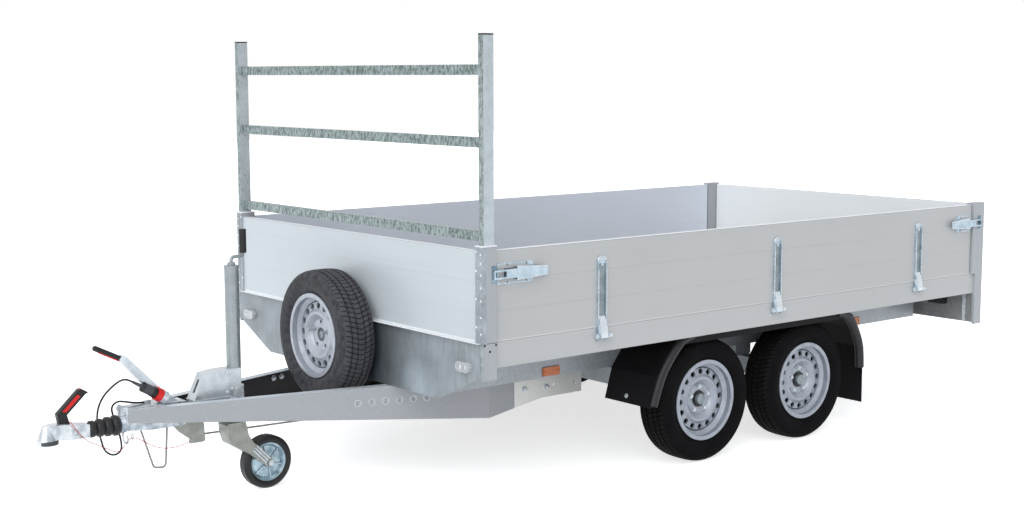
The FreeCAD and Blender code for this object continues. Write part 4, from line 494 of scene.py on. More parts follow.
wheel_paint = sprayed("wheel_silver", (0.27, 0.295, 0.345), (0.37, 0.40, 0.455))
# Painted light: the spare's silver is a lighter copy of the road wheels' silver.
spare_paint_lit = sprayed("spare_silver_painted_light", (0.36, 0.39, 0.44), (0.49, 0.52, 0.575))
# Painted shade: near black for the rings round the wheel holes and the spare's bore.
hole_shade = sprayed("wheel_hole_edge", (0.050, 0.055, 0.065), (0.085, 0.092, 0.105))
print("metals", len([m for m in bpy.data.materials if m.use_nodes]))

# %% [markdown]
# ## Rubber, plastic, plywood and lamps
# Rubber is dark and dull with a dusty bloom; moulded plastic has a fine leather grain. The
# load floor is plywood with a dark film pressed into a wire mesh pattern. Lamp lenses are
# coloured plastic with small prisms on their inner side, made here with a bump of cells.

# %% Dark materials
def moulded(name, dark, light, rough, grain_scale, grain_height, bloom, gloss):
    material, shader = new_finish(name, Specular_IOR_Level=gloss)
    where = coordinates(shader)
    cloud = noise(where, bloom, 5, 0.6)
    feed(shader, Base_Color=ramp(cloud, dark, light, 0.35, 0.72),
         Roughness=span(cloud, rough, rough + 0.12, 0.3, 0.7))
    relief(shader, noise(where, grain_scale, 3), grain_height, 0.5)
    return material


# %% Rubbers and plastics
tyre_side = moulded("tyre_sidewall", (0.0045, 0.0043, 0.0050), (0.0090, 0.0086, 0.0095),
                    0.60, 420, 0.0005, 12, 0.03)
spare_side = moulded("spare_sidewall", (0.026, 0.026, 0.030), (0.080, 0.079, 0.088),
                     0.50, 420, 0.0005, 34, 0.18)
soft_black = moulded("soft_rubber", (0.010, 0.010, 0.011), (0.018, 0.018, 0.019),
                     0.34, 500, 0.0003, 20, 0.30)
guard_black = moulded("guard_plastic", (0.006, 0.0058, 0.007), (0.010, 0.0098, 0.011),
                      0.42, 900, 0.0003, 6, 0.10)
# Painted highlight: the guard's rolled edge is a lighter copy of the guard plastic; its gloss is
# its own.
guard_roll_highlight = moulded("guard_lip", (0.011, 0.011, 0.0125), (0.017, 0.017, 0.019),
                    0.38, 900, 0.0002, 6, 0.30)
hard_black = moulded("hard_plastic", (0.010, 0.010, 0.011), (0.018, 0.018, 0.019),
                     0.34, 1200, 0.0002, 20, 0.3)
grey_plastic = moulded("grey_plastic", (0.045, 0.048, 0.054), (0.075, 0.080, 0.088),
                       0.40, 900, 0.0003, 20, 0.35)
red_plastic = moulded("red_plastic", (0.62, 0.012, 0.012), (0.78, 0.022, 0.020),
                      0.32, 700, 0.0002, 20, 0.35)
cable_black = moulded("cable_sheath", (0.008, 0.008, 0.009), (0.014, 0.014, 0.015),
                      0.26, 900, 0.0001, 30, 0.3)
red_sheath = moulded("wire_sheath", (0.40, 0.030, 0.030), (0.50, 0.045, 0.045),
                     0.30, 1500, 0.0002, 60, 0.3)


# %% Tread, floor and lamp lenses
def tread_rubber(name, cut, top, gloss):
    """Tread blocks: the UV map runs round the tyre, so slanting cuts follow its turn."""
    material, shader = new_finish(name, Roughness=0.62, Specular_IOR_Level=gloss)
    across = math_node("MULTIPLY", math_node("ABSOLUTE", axis_value(shader, 1, "UV")), 0.75)
    slant = math_node("ADD", axis_value(shader, 0, "UV"), across)
    step = math_node("ABSOLUTE", math_node("SUBTRACT", math_node("FRACT", slant), 0.5))
    block = span(step, 0.0, 1.0, 0.05, 0.11)
    dust = noise(coordinates(shader), 30, 4)
    film = ramp(dust, (0.80,) * 3, (1.25, 1.22, 1.20), 0.3, 0.7)
    feed(shader, Base_Color=multiply(ramp(block, cut, top), film))
    relief(shader, block, 0.004, 1.0)
    return material


def floor_film():
    """Brown film with the raised diamonds of a wire mesh."""
    material, shader = new_finish("floor_film", Roughness=0.5)
    diamonds = coordinates(shader, (1.0, 0.6, 0.0))
    mesh_print = cells(diamonds, 170, "DISTANCE_TO_EDGE", "Distance")
    wear = noise(coordinates(shader), 6, 5)
    feed(shader, Base_Color=ramp(wear, (0.085, 0.060, 0.045), (0.140, 0.105, 0.080), 0.3, 0.7))
    relief(shader, span(mesh_print, 0, 1, 0.0, 0.12), 0.0008, 0.8)
    return material


def lens(name, dark, light, prisms, see_through=0.10):
    material, shader = new_finish(name, Roughness=0.14, IOR=1.49, Coat_Weight=0.3,
                                  Transmission_Weight=see_through)
    prism = cells(coordinates(shader), prisms, "F1", "Distance")
    feed(shader, Base_Color=ramp(prism, light, dark, 0.1, 0.75))
    relief(shader, prism, 0.0008, 0.4)
    return material


tyre_tread = tread_rubber("tyre_tread", (0.002,) * 3, (0.010, 0.0096, 0.0105), 0.03)
spare_tread = tread_rubber("spare_tread", (0.006, 0.006, 0.007), (0.062, 0.062, 0.071), 0.18)
ply_film = floor_film()
lens_red = lens("lens_red", (0.30, 0.008, 0.010), (0.62, 0.03, 0.03), 260)
lens_clear = lens("lens_clear", (0.52, 0.54, 0.56), (0.86, 0.88, 0.90), 300, 0.25)
lens_orange = lens("lens_orange", (0.60, 0.11, 0.003), (0.85, 0.22, 0.008), 420)
print("finishes", len([m for m in bpy.data.materials if m.use_nodes]))

# %% [markdown]
# ## A finish on every CAD node
# A CAD node keeps its mesh: only its material changes. Round tubes get smooth shading by
# angle, so a cylinder's facets don't show while its edges stay crisp.

# %% Finishes on the CAD nodes
FINISHES = {
    zinc_bright: "axle_front axle_rear chassis_rails cross_members spare_carrier",
    zinc_painted_shade: "lamp_board",
    zinc_rack: "ladder_rack",
    zinc_skirt: "front_skirt",
    beam_left: "drawbar_left",
    beam_right: "drawbar_right",
    plate_zinc: "jockey_clamp",
    plate_head: "coupling_head",
    plate_housing: "overrun_housing",
    clear_steel: "handbrake_lever",
    plate_blue: "board_fittings_left board_fittings_right hinge_brackets tailboard_fittings",
    rim_blue: "jockey_rim",
    bright_tube: "jockey_outer_tube jockey_leg jockey_crank",
    plate_fork: "jockey_fork brake_linkage",
    bow_steel: "wire_bow",
    catch_blue: "latch_catches",
    side_metal: "side_board_left",
    post_metal: "front_posts rear_posts",
    inner_painted_light: "side_board_right",
    end_painted_light: "front_board",
    tail_painted_light: "tailboard",
    rave_metal: "rave_left rave_right rave_ends",
    wheel_paint: "rim_front_left rim_front_right rim_rear_left rim_rear_right",
    spare_paint_lit: "spare_rim",
    soft_black: "bellows jockey_tyre",
    guard_black: "mudguard_left mudguard_right",
    hard_black: "crank_grip handbrake_grip rack_caps coupling_handle",
    grey_plastic: "plug",
    ply_film: "floor_board",
    lens_red: "rear_lamps",
    lens_clear: "front_lamps",
    lens_orange: "side_reflectors",
    cable_black: "electric_cable",
    red_sheath: "breakaway_cable",
}


def paint(piece, material):
    piece.data.materials.clear()
    piece.data.materials.append(material)


def deselect():
    bpy.ops.object.select_all(action="DESELECT")


def use(piece):
    """Makes one piece the only selected and active one."""
    deselect()
    piece.select_set(True)
    bpy.context.view_layer.objects.active = piece


def smooth(piece, angle=35):
    use(piece)
    bpy.ops.object.shade_smooth_by_angle(angle=math.radians(angle))


for material, names in FINISHES.items():
    for name in names.split():
        paint(nodes[name], material)
        smooth(nodes[name])
paint(lamp_cable, cable_black)
paint(brake_wire, red_sheath)
print("CAD nodes finished:", sum(len(names.split()) for names in FINISHES.values()))

# %% [markdown]
# ## Turned pieces
# Tyres, caps and rings are round, so each is drawn as half a section and spun round its axis.
# The section starts as a single vertex that is extruded from point to point; the spin operator
# sweeps it, doubles are merged where the sweep closes, and the normals are made to face out.

# %% A helper that spins a section
AXES = {"X": Vector((1, 0, 0)), "Y": Vector((0, 1, 0)), "Z": Vector((0, 0, 1))}
OUT = {"X": Vector((0, 0, 1)), "Y": Vector((0, 0, 1)), "Z": Vector((1, 0, 0))}


def named(name):
    """The active piece, under a new name."""
    piece = bpy.context.object
    piece.name = piece.data.name = name
    return piece


def drawn_line(name, places):
    """Draws a line of vertices from place to place, and stays in edit mode."""
    deselect()
    bpy.ops.mesh.primitive_plane_add(size=0.001, location=(0, 0, 0))
    piece = named(name)
    bpy.ops.object.mode_set(mode="EDIT")
    bpy.ops.mesh.select_mode(type="VERT")
    bpy.ops.mesh.select_all(action="SELECT")
    bpy.ops.mesh.merge(type="CENTER")
    bpy.ops.transform.translate(value=places[0])
    for here, there in zip(places, places[1:]):
        bpy.ops.mesh.extrude_vertices_move(TRANSFORM_OT_translate={"value": there - here})
    bpy.ops.mesh.select_all(action="SELECT")
    return piece


def close_up():
    """Makes the normals face out and leaves edit mode."""
    bpy.ops.mesh.select_all(action="SELECT")
    bpy.ops.mesh.normals_make_consistent(inside=False)
    bpy.ops.object.mode_set(mode="OBJECT")


def turned(name, section, centre, axis, steps=48):
    """Spins a section of (along, out) points, in metres, round one of the main axes."""
    centre = Vector(centre)
    places = [centre + AXES[axis] * along + OUT[axis] * out for along, out in section]
    piece = drawn_line(name, places)
    bpy.ops.mesh.spin(steps=steps, angle=math.tau, center=centre, axis=AXES[axis])
    bpy.ops.mesh.select_all(action="SELECT")
    bpy.ops.mesh.remove_doubles(threshold=0.00002)
    close_up()
    return piece


def dress(piece, material, body="chassis", angle=35):
    """Gives a finished piece its material, smooth shading by angle and the body it rides on."""
    paint(piece, material)
    smooth(piece, angle)
    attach(piece, body)
    return piece


# %% [markdown]
# ## Tyres
# The CAD tyres are plain rings, so each is replaced by a turned one: a rounded shoulder, thin
# raised rings on the sidewall, and four grooves round the tread. A groove is simply four more
# points of the section. The fine cuts across the tread are too small and too many to model, so
# the tread faces get their own material, whose UV map counts round the tyre.

# %% Tyre section
half_tyre = [
    (0.0642, 0.1685), (0.0642, 0.184), (0.0700, 0.1930), (0.0760, 0.2020), (0.0800, 0.2125),
    (0.0818, 0.2240), (0.0812, 0.2325), (0.0822, 0.2340), (0.0822, 0.2360), (0.0808, 0.2375),
    (0.0798, 0.2455), (0.0782, 0.2525), (0.0790, 0.2540), (0.0786, 0.2565), (0.0768, 0.2580),
    (0.0742, 0.2645), (0.0700, 0.2705), (0.0640, 0.2750), (0.0570, 0.2775), (0.0505, 0.2788),
    (0.0490, 0.2720), (0.0430, 0.2720), (0.0415, 0.2798), (0.0230, 0.2809), (0.0215, 0.2735),
    (0.0155, 0.2735), (0.0140, 0.2810),
]
tyre_section = half_tyre + [(-along, out) for along, out in half_tyre[::-1]] + half_tyre[:1]
print("points in the tyre's section:", len(tyre_section))
TREAD_INSIDE = 0.2710
TREAD_BLOCKS, TREAD_ACROSS = 80, 20


def tread_map(piece, centre, axis):
    """A UV map that counts blocks round the axis in U and runs across the tread in V."""
    layer = piece.data.uv_layers.new(name="around")
    layer.active = layer.active_render = True
    side = AXES["Y"] if axis == "X" else AXES["X"]
    for face in piece.data.polygons:
        mid = face.center - centre
        middle_turn = math.atan2(mid.dot(side), mid.z)
        for corner in face.loop_indices:
            arm = piece.data.vertices[piece.data.loops[corner].vertex_index].co - centre
            turn = math.atan2(arm.dot(side), arm.z)
            turn -= math.tau * round((turn - middle_turn) / math.tau)
            layer.data[corner].uv = (turn / math.tau * TREAD_BLOCKS,
                                     arm.dot(AXES[axis]) * TREAD_ACROSS)


def tyre(name, centre, axis, node, body, wall=tyre_side, tread=tyre_tread):
    piece = turned(name, tyre_section, centre, axis, 96)
    dress(piece, wall, body, 28)
    piece.data.materials.append(tread)
    centre = Vector(centre)
    for face in piece.data.polygons:
        arm = face.center - centre
        out = (arm - AXES[axis] * arm.dot(AXES[axis])).length
        if out > TREAD_INSIDE:
            face.material_index = 1
    tread_map(piece, centre, axis)
    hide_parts(node)
    return piece


# %% The five tyres
WHEEL_CENTRES = {"front": behind(1.321), "rear": behind(2.001)}
WHEEL_SIDE, TYRE_RADIUS = 0.813, 0.281
SPARE_CENTRE = (ahead(0.110), 0.0, 0.623)
ROAD_WHEELS = [(f"{row}_{side_name}", side, (x, side * WHEEL_SIDE, TYRE_RADIUS))
               for row, x in WHEEL_CENTRES.items() for side_name, side in SIDES.items()]
tyres = [tyre(f"road_tyre_{wheel}", centre, "Y", f"tyre_{wheel}", f"wheel_{wheel}")
         for wheel, side, centre in ROAD_WHEELS]
tyres.append(tyre("spare_wheel_tyre", SPARE_CENTRE, "X", "spare_tyre", "chassis",
                  spare_side, spare_tread))
print("tyres:", len(tyres), "faces each:", len(tyres[0].data.polygons))

# %% [markdown]
# ## Bolts
# One hexagon bolt is modelled with its head and washer, then copied to every place. Each copy
# is a mesh of its own, laid along its own direction, and the copies of one group are joined.
# The head starts as a six-sided cylinder whose top face is inset and pushed up a little, which
# gives the turned chamfer of a real bolt head. A model to copy has "pattern" in its name, so
# the last cell can find and remove it.

# %% A bolt and its copies
def settle(name):
    """Applies the active piece's place, turn and size to its mesh, and names it."""
    bpy.ops.object.transform_apply(location=True, rotation=True, scale=True)
    return named(name)


def upright(sides, radius, bottom, height):
    """A cylinder along +Z over the origin."""
    deselect()
    bpy.ops.mesh.primitive_cylinder_add(vertices=sides, radius=radius, depth=height,
                                        location=(0, 0, bottom + height / 2))
    return settle("upright_pattern")


def join(pieces, name):
    """Joins pieces into the first one and renames it."""
    use(pieces[0])
    for piece in pieces:
        piece.select_set(True)
    if len(pieces) > 1:
        bpy.ops.object.join()
    return named(name)


def hex_bolt(radius, height, washer):
    """A hexagon head on a washer, standing on the origin along +Z."""
    head = upright(6, radius, radius * 0.15, height)
    bpy.ops.object.mode_set(mode="EDIT")
    bpy.ops.mesh.select_mode(type="FACE")
    bpy.ops.mesh.select_all(action="DESELECT")
    mesh = bmesh.from_edit_mesh(head.data)
    for face in mesh.faces:
        face.select = face.normal.z > 0.9
    bmesh.update_edit_mesh(head.data)
    bpy.ops.mesh.inset(thickness=radius * 0.16)
    bpy.ops.transform.translate(value=(0, 0, radius * 0.10))
    bpy.ops.object.mode_set(mode="OBJECT")
    return join([head, upright(18, radius * washer, 0, radius * 0.2)], "bolt_pattern")


def dome_rivet(radius, height):
    """A low rounded rivet head along +Z."""
    section = [(0, radius), (height * 0.45, radius * 0.92), (height * 0.8, radius * 0.62),
               (height, 0.0001)]
    return turned("rivet_pattern", section, (0, 0, 0), "Z", 14)


def set_out(pattern, name, places):
    """Copies a pattern to each (place, direction), each with its own mesh, and joins them."""
    copies = []
    for place, direction in places:
        copy = pattern.copy()
        copy.data = pattern.data.copy()
        scene.collection.objects.link(copy)
        turn = Vector(direction).to_track_quat("Z", "Y").to_matrix().to_4x4()
        copy.data.transform(Matrix.Translation(place) @ turn)
        copies.append(copy)
    return join(copies, name)


# %% [markdown]
# ## Wheel bolts and caps
# Each road wheel is held by five bolts around a grease cap. The CAD model has plain round
# stand-ins there; the heads and the ribbed cap below slip over them. Painted shade makes the
# wheels read as they do in shade: the sixteen holes of each disc get a dark rim, a dark ring
# behind the disc darkens the holes, a dark ring round the cap stands for its bore, the cap is in
# the darker zinc plate, and the spare's hub bore gets a dark ring.

# %% Wheel fittings
# Painted shade: dark rings behind the holes, round the cap and round the spare's bore.
DRUM_SHADE_RING = [(0.0100, 0.1050), (0.0180, 0.1050), (0.0180, 0.1440), (0.0100, 0.1440),
              (0.0100, 0.1050)]
HUB_BORE_SHADE = [(0.0262, 0.0385), (0.0285, 0.0375), (0.0285, 0.0240), (0.0262, 0.0238)]
GREASE_CAP = [(0.0262, 0.0236), (0.0385, 0.0236), (0.0395, 0.0248), (0.0420, 0.0248),
              (0.0452, 0.0236), (0.0465, 0.0205), (0.0465, 0.0165), (0.0445, 0.0150),
              (0.0445, 0.0001)]
HOLE_SHADE_RING = [(-0.0010, 0.0136), (0.0006, 0.0131), (0.0006, 0.0117), (-0.0010, 0.0107)]
SPARE_BORE_SHADE = [(0.0255, 0.0300), (0.0266, 0.0295), (0.0266, 0.0175), (0.0255, 0.0170)]
HUB_PIECES = (("hub_bore_shade", HUB_BORE_SHADE, 32, hard_black, "black_plastic"),
              ("drum_painted_shade", DRUM_SHADE_RING, 48, tyre_side, "black_plastic"),
              ("grease_cap", GREASE_CAP, 32, plate_painted_shade, "zinc"))
HOLE_COUNT, HOLE_CIRCLE, HOLE_FACE, HOLE_LEAN = 16, 0.126, 0.0375, 0.107
BOLT_COUNT, BOLT_CIRCLE, BOLT_FACE = 5, 0.056, 0.0262
wheel_bolt = hex_bolt(0.0095, 0.010, 1.25)
hole_shade_ring = turned("hole_pattern", HOLE_SHADE_RING, (0, 0, 0), "Z", 20)


def hole_places(centre, axis):
    """Places round the disc, with a direction that leans out as the disc does."""
    centre, axis = Vector(centre), Vector(axis)
    places = []
    for index in range(HOLE_COUNT):
        outward = Matrix.Rotation(math.tau * index / HOLE_COUNT, 3, axis) @ Vector((0, 0, 1))
        places.append((centre + outward * HOLE_CIRCLE + axis * HOLE_FACE,
                       axis + outward * HOLE_LEAN))
    return places


for wheel, side, centre in ROAD_WHEELS:
    body, outward = f"wheel_{wheel}", (0, side, 0)
    x, y, z = centre
    places = []
    for index in range(BOLT_COUNT):
        angle = math.tau * index / BOLT_COUNT
        places.append(((x + BOLT_CIRCLE * math.sin(angle), y + side * BOLT_FACE,
                        z + BOLT_CIRCLE * math.cos(angle)), outward))
    dress(set_out(wheel_bolt, f"wheel_bolts_{wheel}", places), plate_zinc, body)
    edges = set_out(hole_shade_ring, f"hole_edges_{wheel}", hole_places(centre, outward))
    dress(edges, hole_shade, body)
    for label, section, steps, finish, slot in HUB_PIECES:
        section = [(side * along, out) for along, out in section]
        dress(turned(f"{label}_{wheel}", section, centre, "Y", steps), finish, body)
edges = set_out(hole_shade_ring, "hole_edges_spare", hole_places(SPARE_CENTRE, (1, 0, 0)))
dress(edges, hole_shade)
dress(turned("spare_hub_shade", SPARE_BORE_SHADE, SPARE_CENTRE, "X", 32), hole_shade)
print("wheel bolts set out on", len(ROAD_WHEELS), "wheels")

# %% [markdown]
# ## Slabs, bars, sheets and rods
# Most trim starts from one of four forms: a box with bevelled edges, a round bar between two
# places, a flat outline pushed to a thickness, and a rod bent along a smooth line. The outline
# is drawn vertex by vertex and filled, which is how a sheet is cut before it is folded.

# %% Helpers for small pieces
def slab(name, x, y, z, bevel=0.0):
    """A box given by its two ends along each axis; its edges may be bevelled."""
    low, high = (Vector([end(reach) for reach in (x, y, z)]) for end in (min, max))
    deselect()
    bpy.ops.mesh.primitive_cube_add(size=1, location=(low + high) / 2, scale=high - low)
    piece = settle(name)
    if bevel:
        bpy.ops.object.mode_set(mode="EDIT")
        bpy.ops.mesh.select_all(action="SELECT")
        bpy.ops.mesh.bevel(offset=bevel, segments=2, affect="EDGES")
        bpy.ops.object.mode_set(mode="OBJECT")
    return piece


def bar(name, start, end, radius, sides=20):
    """A round bar between two places."""
    start, end = Vector(start), Vector(end)
    heading = (end - start).to_track_quat("Z", "Y").to_euler()
    deselect()
    bpy.ops.mesh.primitive_cylinder_add(vertices=sides, radius=radius, rotation=heading,
                                        depth=(end - start).length, location=(start + end) / 2)
    return settle(name)


def sheet(name, outline, thickness):
    """A flat outline of places, filled and pushed along a thickness vector."""
    piece = drawn_line(name, [Vector(place) for place in outline])
    bpy.ops.mesh.edge_face_add()
    bpy.ops.mesh.extrude_region_move(TRANSFORM_OT_translate={"value": Vector(thickness)})
    close_up()
    return piece


def bent_rod(name, places, radius):
    """A rod along a smooth line, turned into a mesh."""
    use(smooth_curve(name, places, radius, 6, 3))
    bpy.ops.object.convert(target="MESH")
    return bpy.context.object


# %% [markdown]
# ## Edges of the boards
# A side board's top edge and a strip along its foot are painted highlights: pale aluminium that
# reads as bright lines. The foot strip closes the gap between the board and the bed's edge
# profile and swings down with the board. The front board's top and foot, the skirt's lip and
# the tailboard's top get the same painted highlights.

# %% Painted highlights on the edges
BOARD_FOOT, BOARD_TOP, BOARD_THICK = 0.701, 1.056, 0.025
on_top = (BOARD_TOP, BOARD_TOP + 0.0008)
between_posts = (-0.88, 0.88)
board_x = (behind(BED_LENGTH) + 0.097, behind(0.073))
lip_z = (0.6974, BOARD_FOOT + 0.0012)
for side_name, side in SIDES.items():
    outer, inner = side * HALF_WIDTH, side * (HALF_WIDTH - BOARD_THICK)
    # Painted highlights: a pale strip on the top and one along the foot.
    top = slab(f"board_top_{side_name}", board_x, (outer, inner), on_top)
    lip_y = (outer - side * 0.004, outer + side * 0.0008)
    lip = slab(f"board_foot_highlight_{side_name}", board_x, lip_y, lip_z)
    dress(top, pale_highlight_metal, f"side_{side_name}")
    dress(lip, soft_highlight_metal, f"side_{side_name}")
# Painted highlights on the front board's top and foot and on the skirt's lip.
front_highlights = [
    slab("front_board_top", (behind(0.029), behind(0.004)), between_posts, on_top),
    slab("skirt_lip", (BED_FRONT, ahead(0.0165)), (-HALF_WIDTH, HALF_WIDTH), (0.696, 0.6972)),
    slab("front_foot", (behind(0.008), behind(0.0030)), (-0.916, 0.916), (0.6965, 0.7050))]
dress(join(front_highlights, "front_highlights"), pale_highlight_metal)
tail_x = (behind(BED_LENGTH), behind(BED_LENGTH) + BOARD_THICK)
dress(slab("tailboard_top", tail_x, between_posts, on_top), pale_highlight_metal, "tail")
print("board edges from x", [round(x, 3) for x in board_x])

# %% [markdown]
# ## Front corner posts
# A galvanised angle strip is riveted over the front edge of each aluminium post and wraps a
# little way round its outer side. A light cap closes the post where the rack's leg enters. Two
# columns of dome rivets run down the strip. A thin skin covers the post's outer side, a short
# angle carries the skirt's corner, and a dark joint shows where post and skirt meet.

# %% Post strips, caps and rivets
SKIN = 0.0004
POST_FOOT, POST_TOP, POST_BACK = 0.6965, 1.0735, behind(0.0682)
RIVET_COLUMNS = ((0.0043, 0.9535, (0.735, 0.800, 0.865, 0.915, 0.965, 1.010, 1.045)),
                 (0.0033, 0.9235, (0.760, 0.870, 0.980, 1.055)))
strips, caps, rivet_places = [], [], []
for side in SIDES.values():
    front, face, back = ahead(0.002), ahead(0.003 + SKIN), behind(0.0153)
    inner, outer, wrap = side * 0.9178, side * 0.962, side * (0.963 + SKIN)
    outline = [(front, inner), (face, inner), (face, wrap), (back, wrap), (back, outer),
               (front, outer)]
    outline = [(x, y, POST_FOOT) for x, y in outline]
    strips.append(sheet("post_strip", outline, (0, 0, 0.3785)))
    strips.append(slab("post_fold", (front, ahead(0.0044)), (side * 0.944, side * 0.9637),
                       (POST_FOOT, 1.074)))
    caps.append(slab("post_cap", (behind(0.069), ahead(0.0045)), (side * 0.9165, side * 0.9645),
                     (POST_TOP, 1.0785), 0.001))
    for x, y, heights in RIVET_COLUMNS:
        rivet_places += [((ahead(x), side * y, height), (1, 0, 0)) for height in heights]
print("post strips and folds:", len(strips), "caps:", len(caps))

# %% Post skins, screws and joints
SCREWS = ((0.034, 0.664), (0.064, 0.688), (0.008, 0.690))
skins, screws, joints = [], [], []
for side in SIDES.values():
    skins.append(slab("post_skin", (POST_BACK, behind(0.0150)), (side * 0.961, side * 0.9614),
                      (POST_FOOT, POST_TOP)))
    strips.append(slab("skirt_corner", (behind(0.002), ahead(0.0036)),
                       (side * 0.945, side * 0.9625), (0.562, POST_FOOT), 0.0006))
    screws += [((behind(x), side * 0.9612, height), (0, side, 0)) for x, height in SCREWS]
    joints.append(slab("post_joint", (POST_BACK, behind(0.0005)), (side * 0.9615, side * 0.9617),
                       (0.6955, 0.6972)))
dress(join(skins, "post_skins"), post_metal)
dress(join(joints, "post_joints"), hard_black)
rivet = dome_rivet(0.0046, 0.0028)
dress(set_out(rivet, "post_screws", screws), hard_black)
dress(join(strips, "post_strips"), zinc_strip)
dress(join(caps, "post_caps"), pale_highlight_metal)
dress(set_out(rivet, "post_rivets", rivet_places), pale_highlight_metal)
print("post rivets:", len(rivet_places))

# %% [markdown]
# ## Strap hinges
# Each strap is pressed from one sheet: a channel with raised rims, a rounded top held by a
# bolt, and a wedge at the foot where it wraps the pin. The CAD strap has the channel; the floor
# of the channel, painted dark as shade, the round top, the bright wedge and the bolts are added
# over it.

# %% Strap details
STRAPS = (0.625, 1.706, 2.760)
STRAP_FACE = 0.953
WEDGE = ((0.952, 0.744), (0.9565, 0.744), (0.9700, 0.704), (0.9765, 0.676), (0.9765, 0.654),
         (0.952, 0.654))
PIN_HEIGHT, PIN_SIDE = 0.660, 0.963


def arch(x, y, z, half, rise, steps):
    """Places along half an ellipse that stands on (x, y, z)."""
    turns = [math.pi * step / steps for step in range(steps + 1)]
    return [(x + half * math.cos(turn), y, z + rise * math.sin(turn)) for turn in turns]


strap_bolt = hex_bolt(0.0052, 0.004, 1.3)
for side_name, side in SIDES.items():
    floor_shades, tops, wedges, places = [], [], [], []
    face = side * STRAP_FACE
    for distance in STRAPS:
        x = behind(distance)
        # Painted shade: a dark sheet on the channel's floor.
        floor_shades.append(slab("strap_floor", (x - 0.0195, x + 0.0195), (face, face + side * SKIN),
                           (0.722, 0.962)))
        tops.append(sheet("strap_round", arch(x, side * HALF_WIDTH, 0.976, 0.024, 0.020, 10),
                          (0, side * 0.0052, 0)))
        rim = arch(x, side * 0.9555, 0.974, 0.0215, 0.0185, 8)
        tops.append(bent_rod("strap_rim", rim, 0.0026))
        for edge in (x - 0.0222, x + 0.0222):
            tops.append(bar("strap_edge", (edge, side * 0.9604, 0.738),
                            (edge, side * 0.9604, 0.934), 0.0021, 10))
        wedge = [(x - 0.0175, side * out, z) for out, z in WEDGE]
        wedges.append(sheet("strap_wedge", wedge, (0.035, 0, 0)))
        pin = (side * PIN_SIDE, PIN_HEIGHT)
        wedges.append(bar("pin_stub", (x - 0.0262, *pin), (x - 0.0480, *pin), 0.0085, 16))
        wedges.append(bar("pin_head", (x + 0.0262, *pin), (x + 0.0335, *pin), 0.0100, 6))
        places.append(((x, face + side * SKIN, 0.958), (0, side, 0)))
    body = f"side_{side_name}"
    dress(join(floor_shades, f"strap_floors_{side_name}"), plate_painted_shade, body)
    dress(join(tops, f"strap_tops_{side_name}"), plate_zinc, body)
    dress(join(wedges, f"strap_wedges_{side_name}"), wedge_zinc, body, 20)
    dress(set_out(strap_bolt, f"strap_bolts_{side_name}", places), plate_zinc, body)
print("straps dressed:", len(STRAPS) * len(SIDES))

# %% [markdown]
# ## Latches
# Each corner latch pulls its board shut over a catch on the post. Its lever is a channel whose
# rolled edges carry painted highlights, the bail's loop stands over a gap painted dark as shade,
# and rivets hold the base plate.

# %% Latch details
LATCH_Z, LATCH_FACE = 0.963, 0.952
LATCH_CORNERS = ((BED_FRONT, -1, 0.0), (behind(BED_LENGTH), 1, 0.030))
for side_name, side in SIDES.items():
    bright, gap_shades, panels, places = [], [], [], []
    y_low, y_high = sorted((side * LATCH_FACE, side * (LATCH_FACE + SKIN)))
    for start, away, shift in LATCH_CORNERS:
        loop, first, near, second, panel, far = [
            start + away * (distance - shift)
            for distance in (0.112, 0.128, 0.164, 0.225, 0.226, 0.320)]
        # Painted highlights: bright bars along the lever's edges.
        for up in (1, -1):
            bright.append(bar("lever_edge", (near, side * 0.9702, LATCH_Z + up * 0.0262),
                              (far, side * 0.9702, LATCH_Z + up * 0.0160), 0.0024, 10))
        # Painted shade: a dark sheet in the gap under the bail.
        gap_shades.append(slab("latch_gap", (loop, near), (y_low, y_high),
                         (LATCH_Z - 0.020, LATCH_Z + 0.020)))
        panels.append(slab("latch_panel", (start + away * (0.082 - shift * 0.5), panel),
                           (y_low, y_high - 0.0001), (LATCH_Z - 0.036, LATCH_Z + 0.036)))
        places += [((x, side * LATCH_FACE, LATCH_Z + up), (0, side, 0))
                   for x in (first, second) for up in (0.034, -0.034)]
    body = f"side_{side_name}"
    dress(join(bright, f"lever_edges_{side_name}"), wedge_zinc, body, 50)
    dress(join(gap_shades, f"latch_gaps_{side_name}"), plate_dark, body)
    dress(join(panels, f"latch_panels_{side_name}"), side_metal, body)
    dress(set_out(rivet, f"latch_rivets_{side_name}", places), plate_painted_shade, body)
print("latches dressed:", len(LATCH_CORNERS) * len(SIDES))

# %% [markdown]
# ## Mudguard rolls
# The moulded guard ends in a rolled edge that stiffens it and catches the light where the guard
# turns down to its feet; the roll's plastic is painted a little lighter as a highlight. Each roll
# is a rod along the guard's side line, set half into the sheet. Bolts hold the flaps below the
# guard's ends.

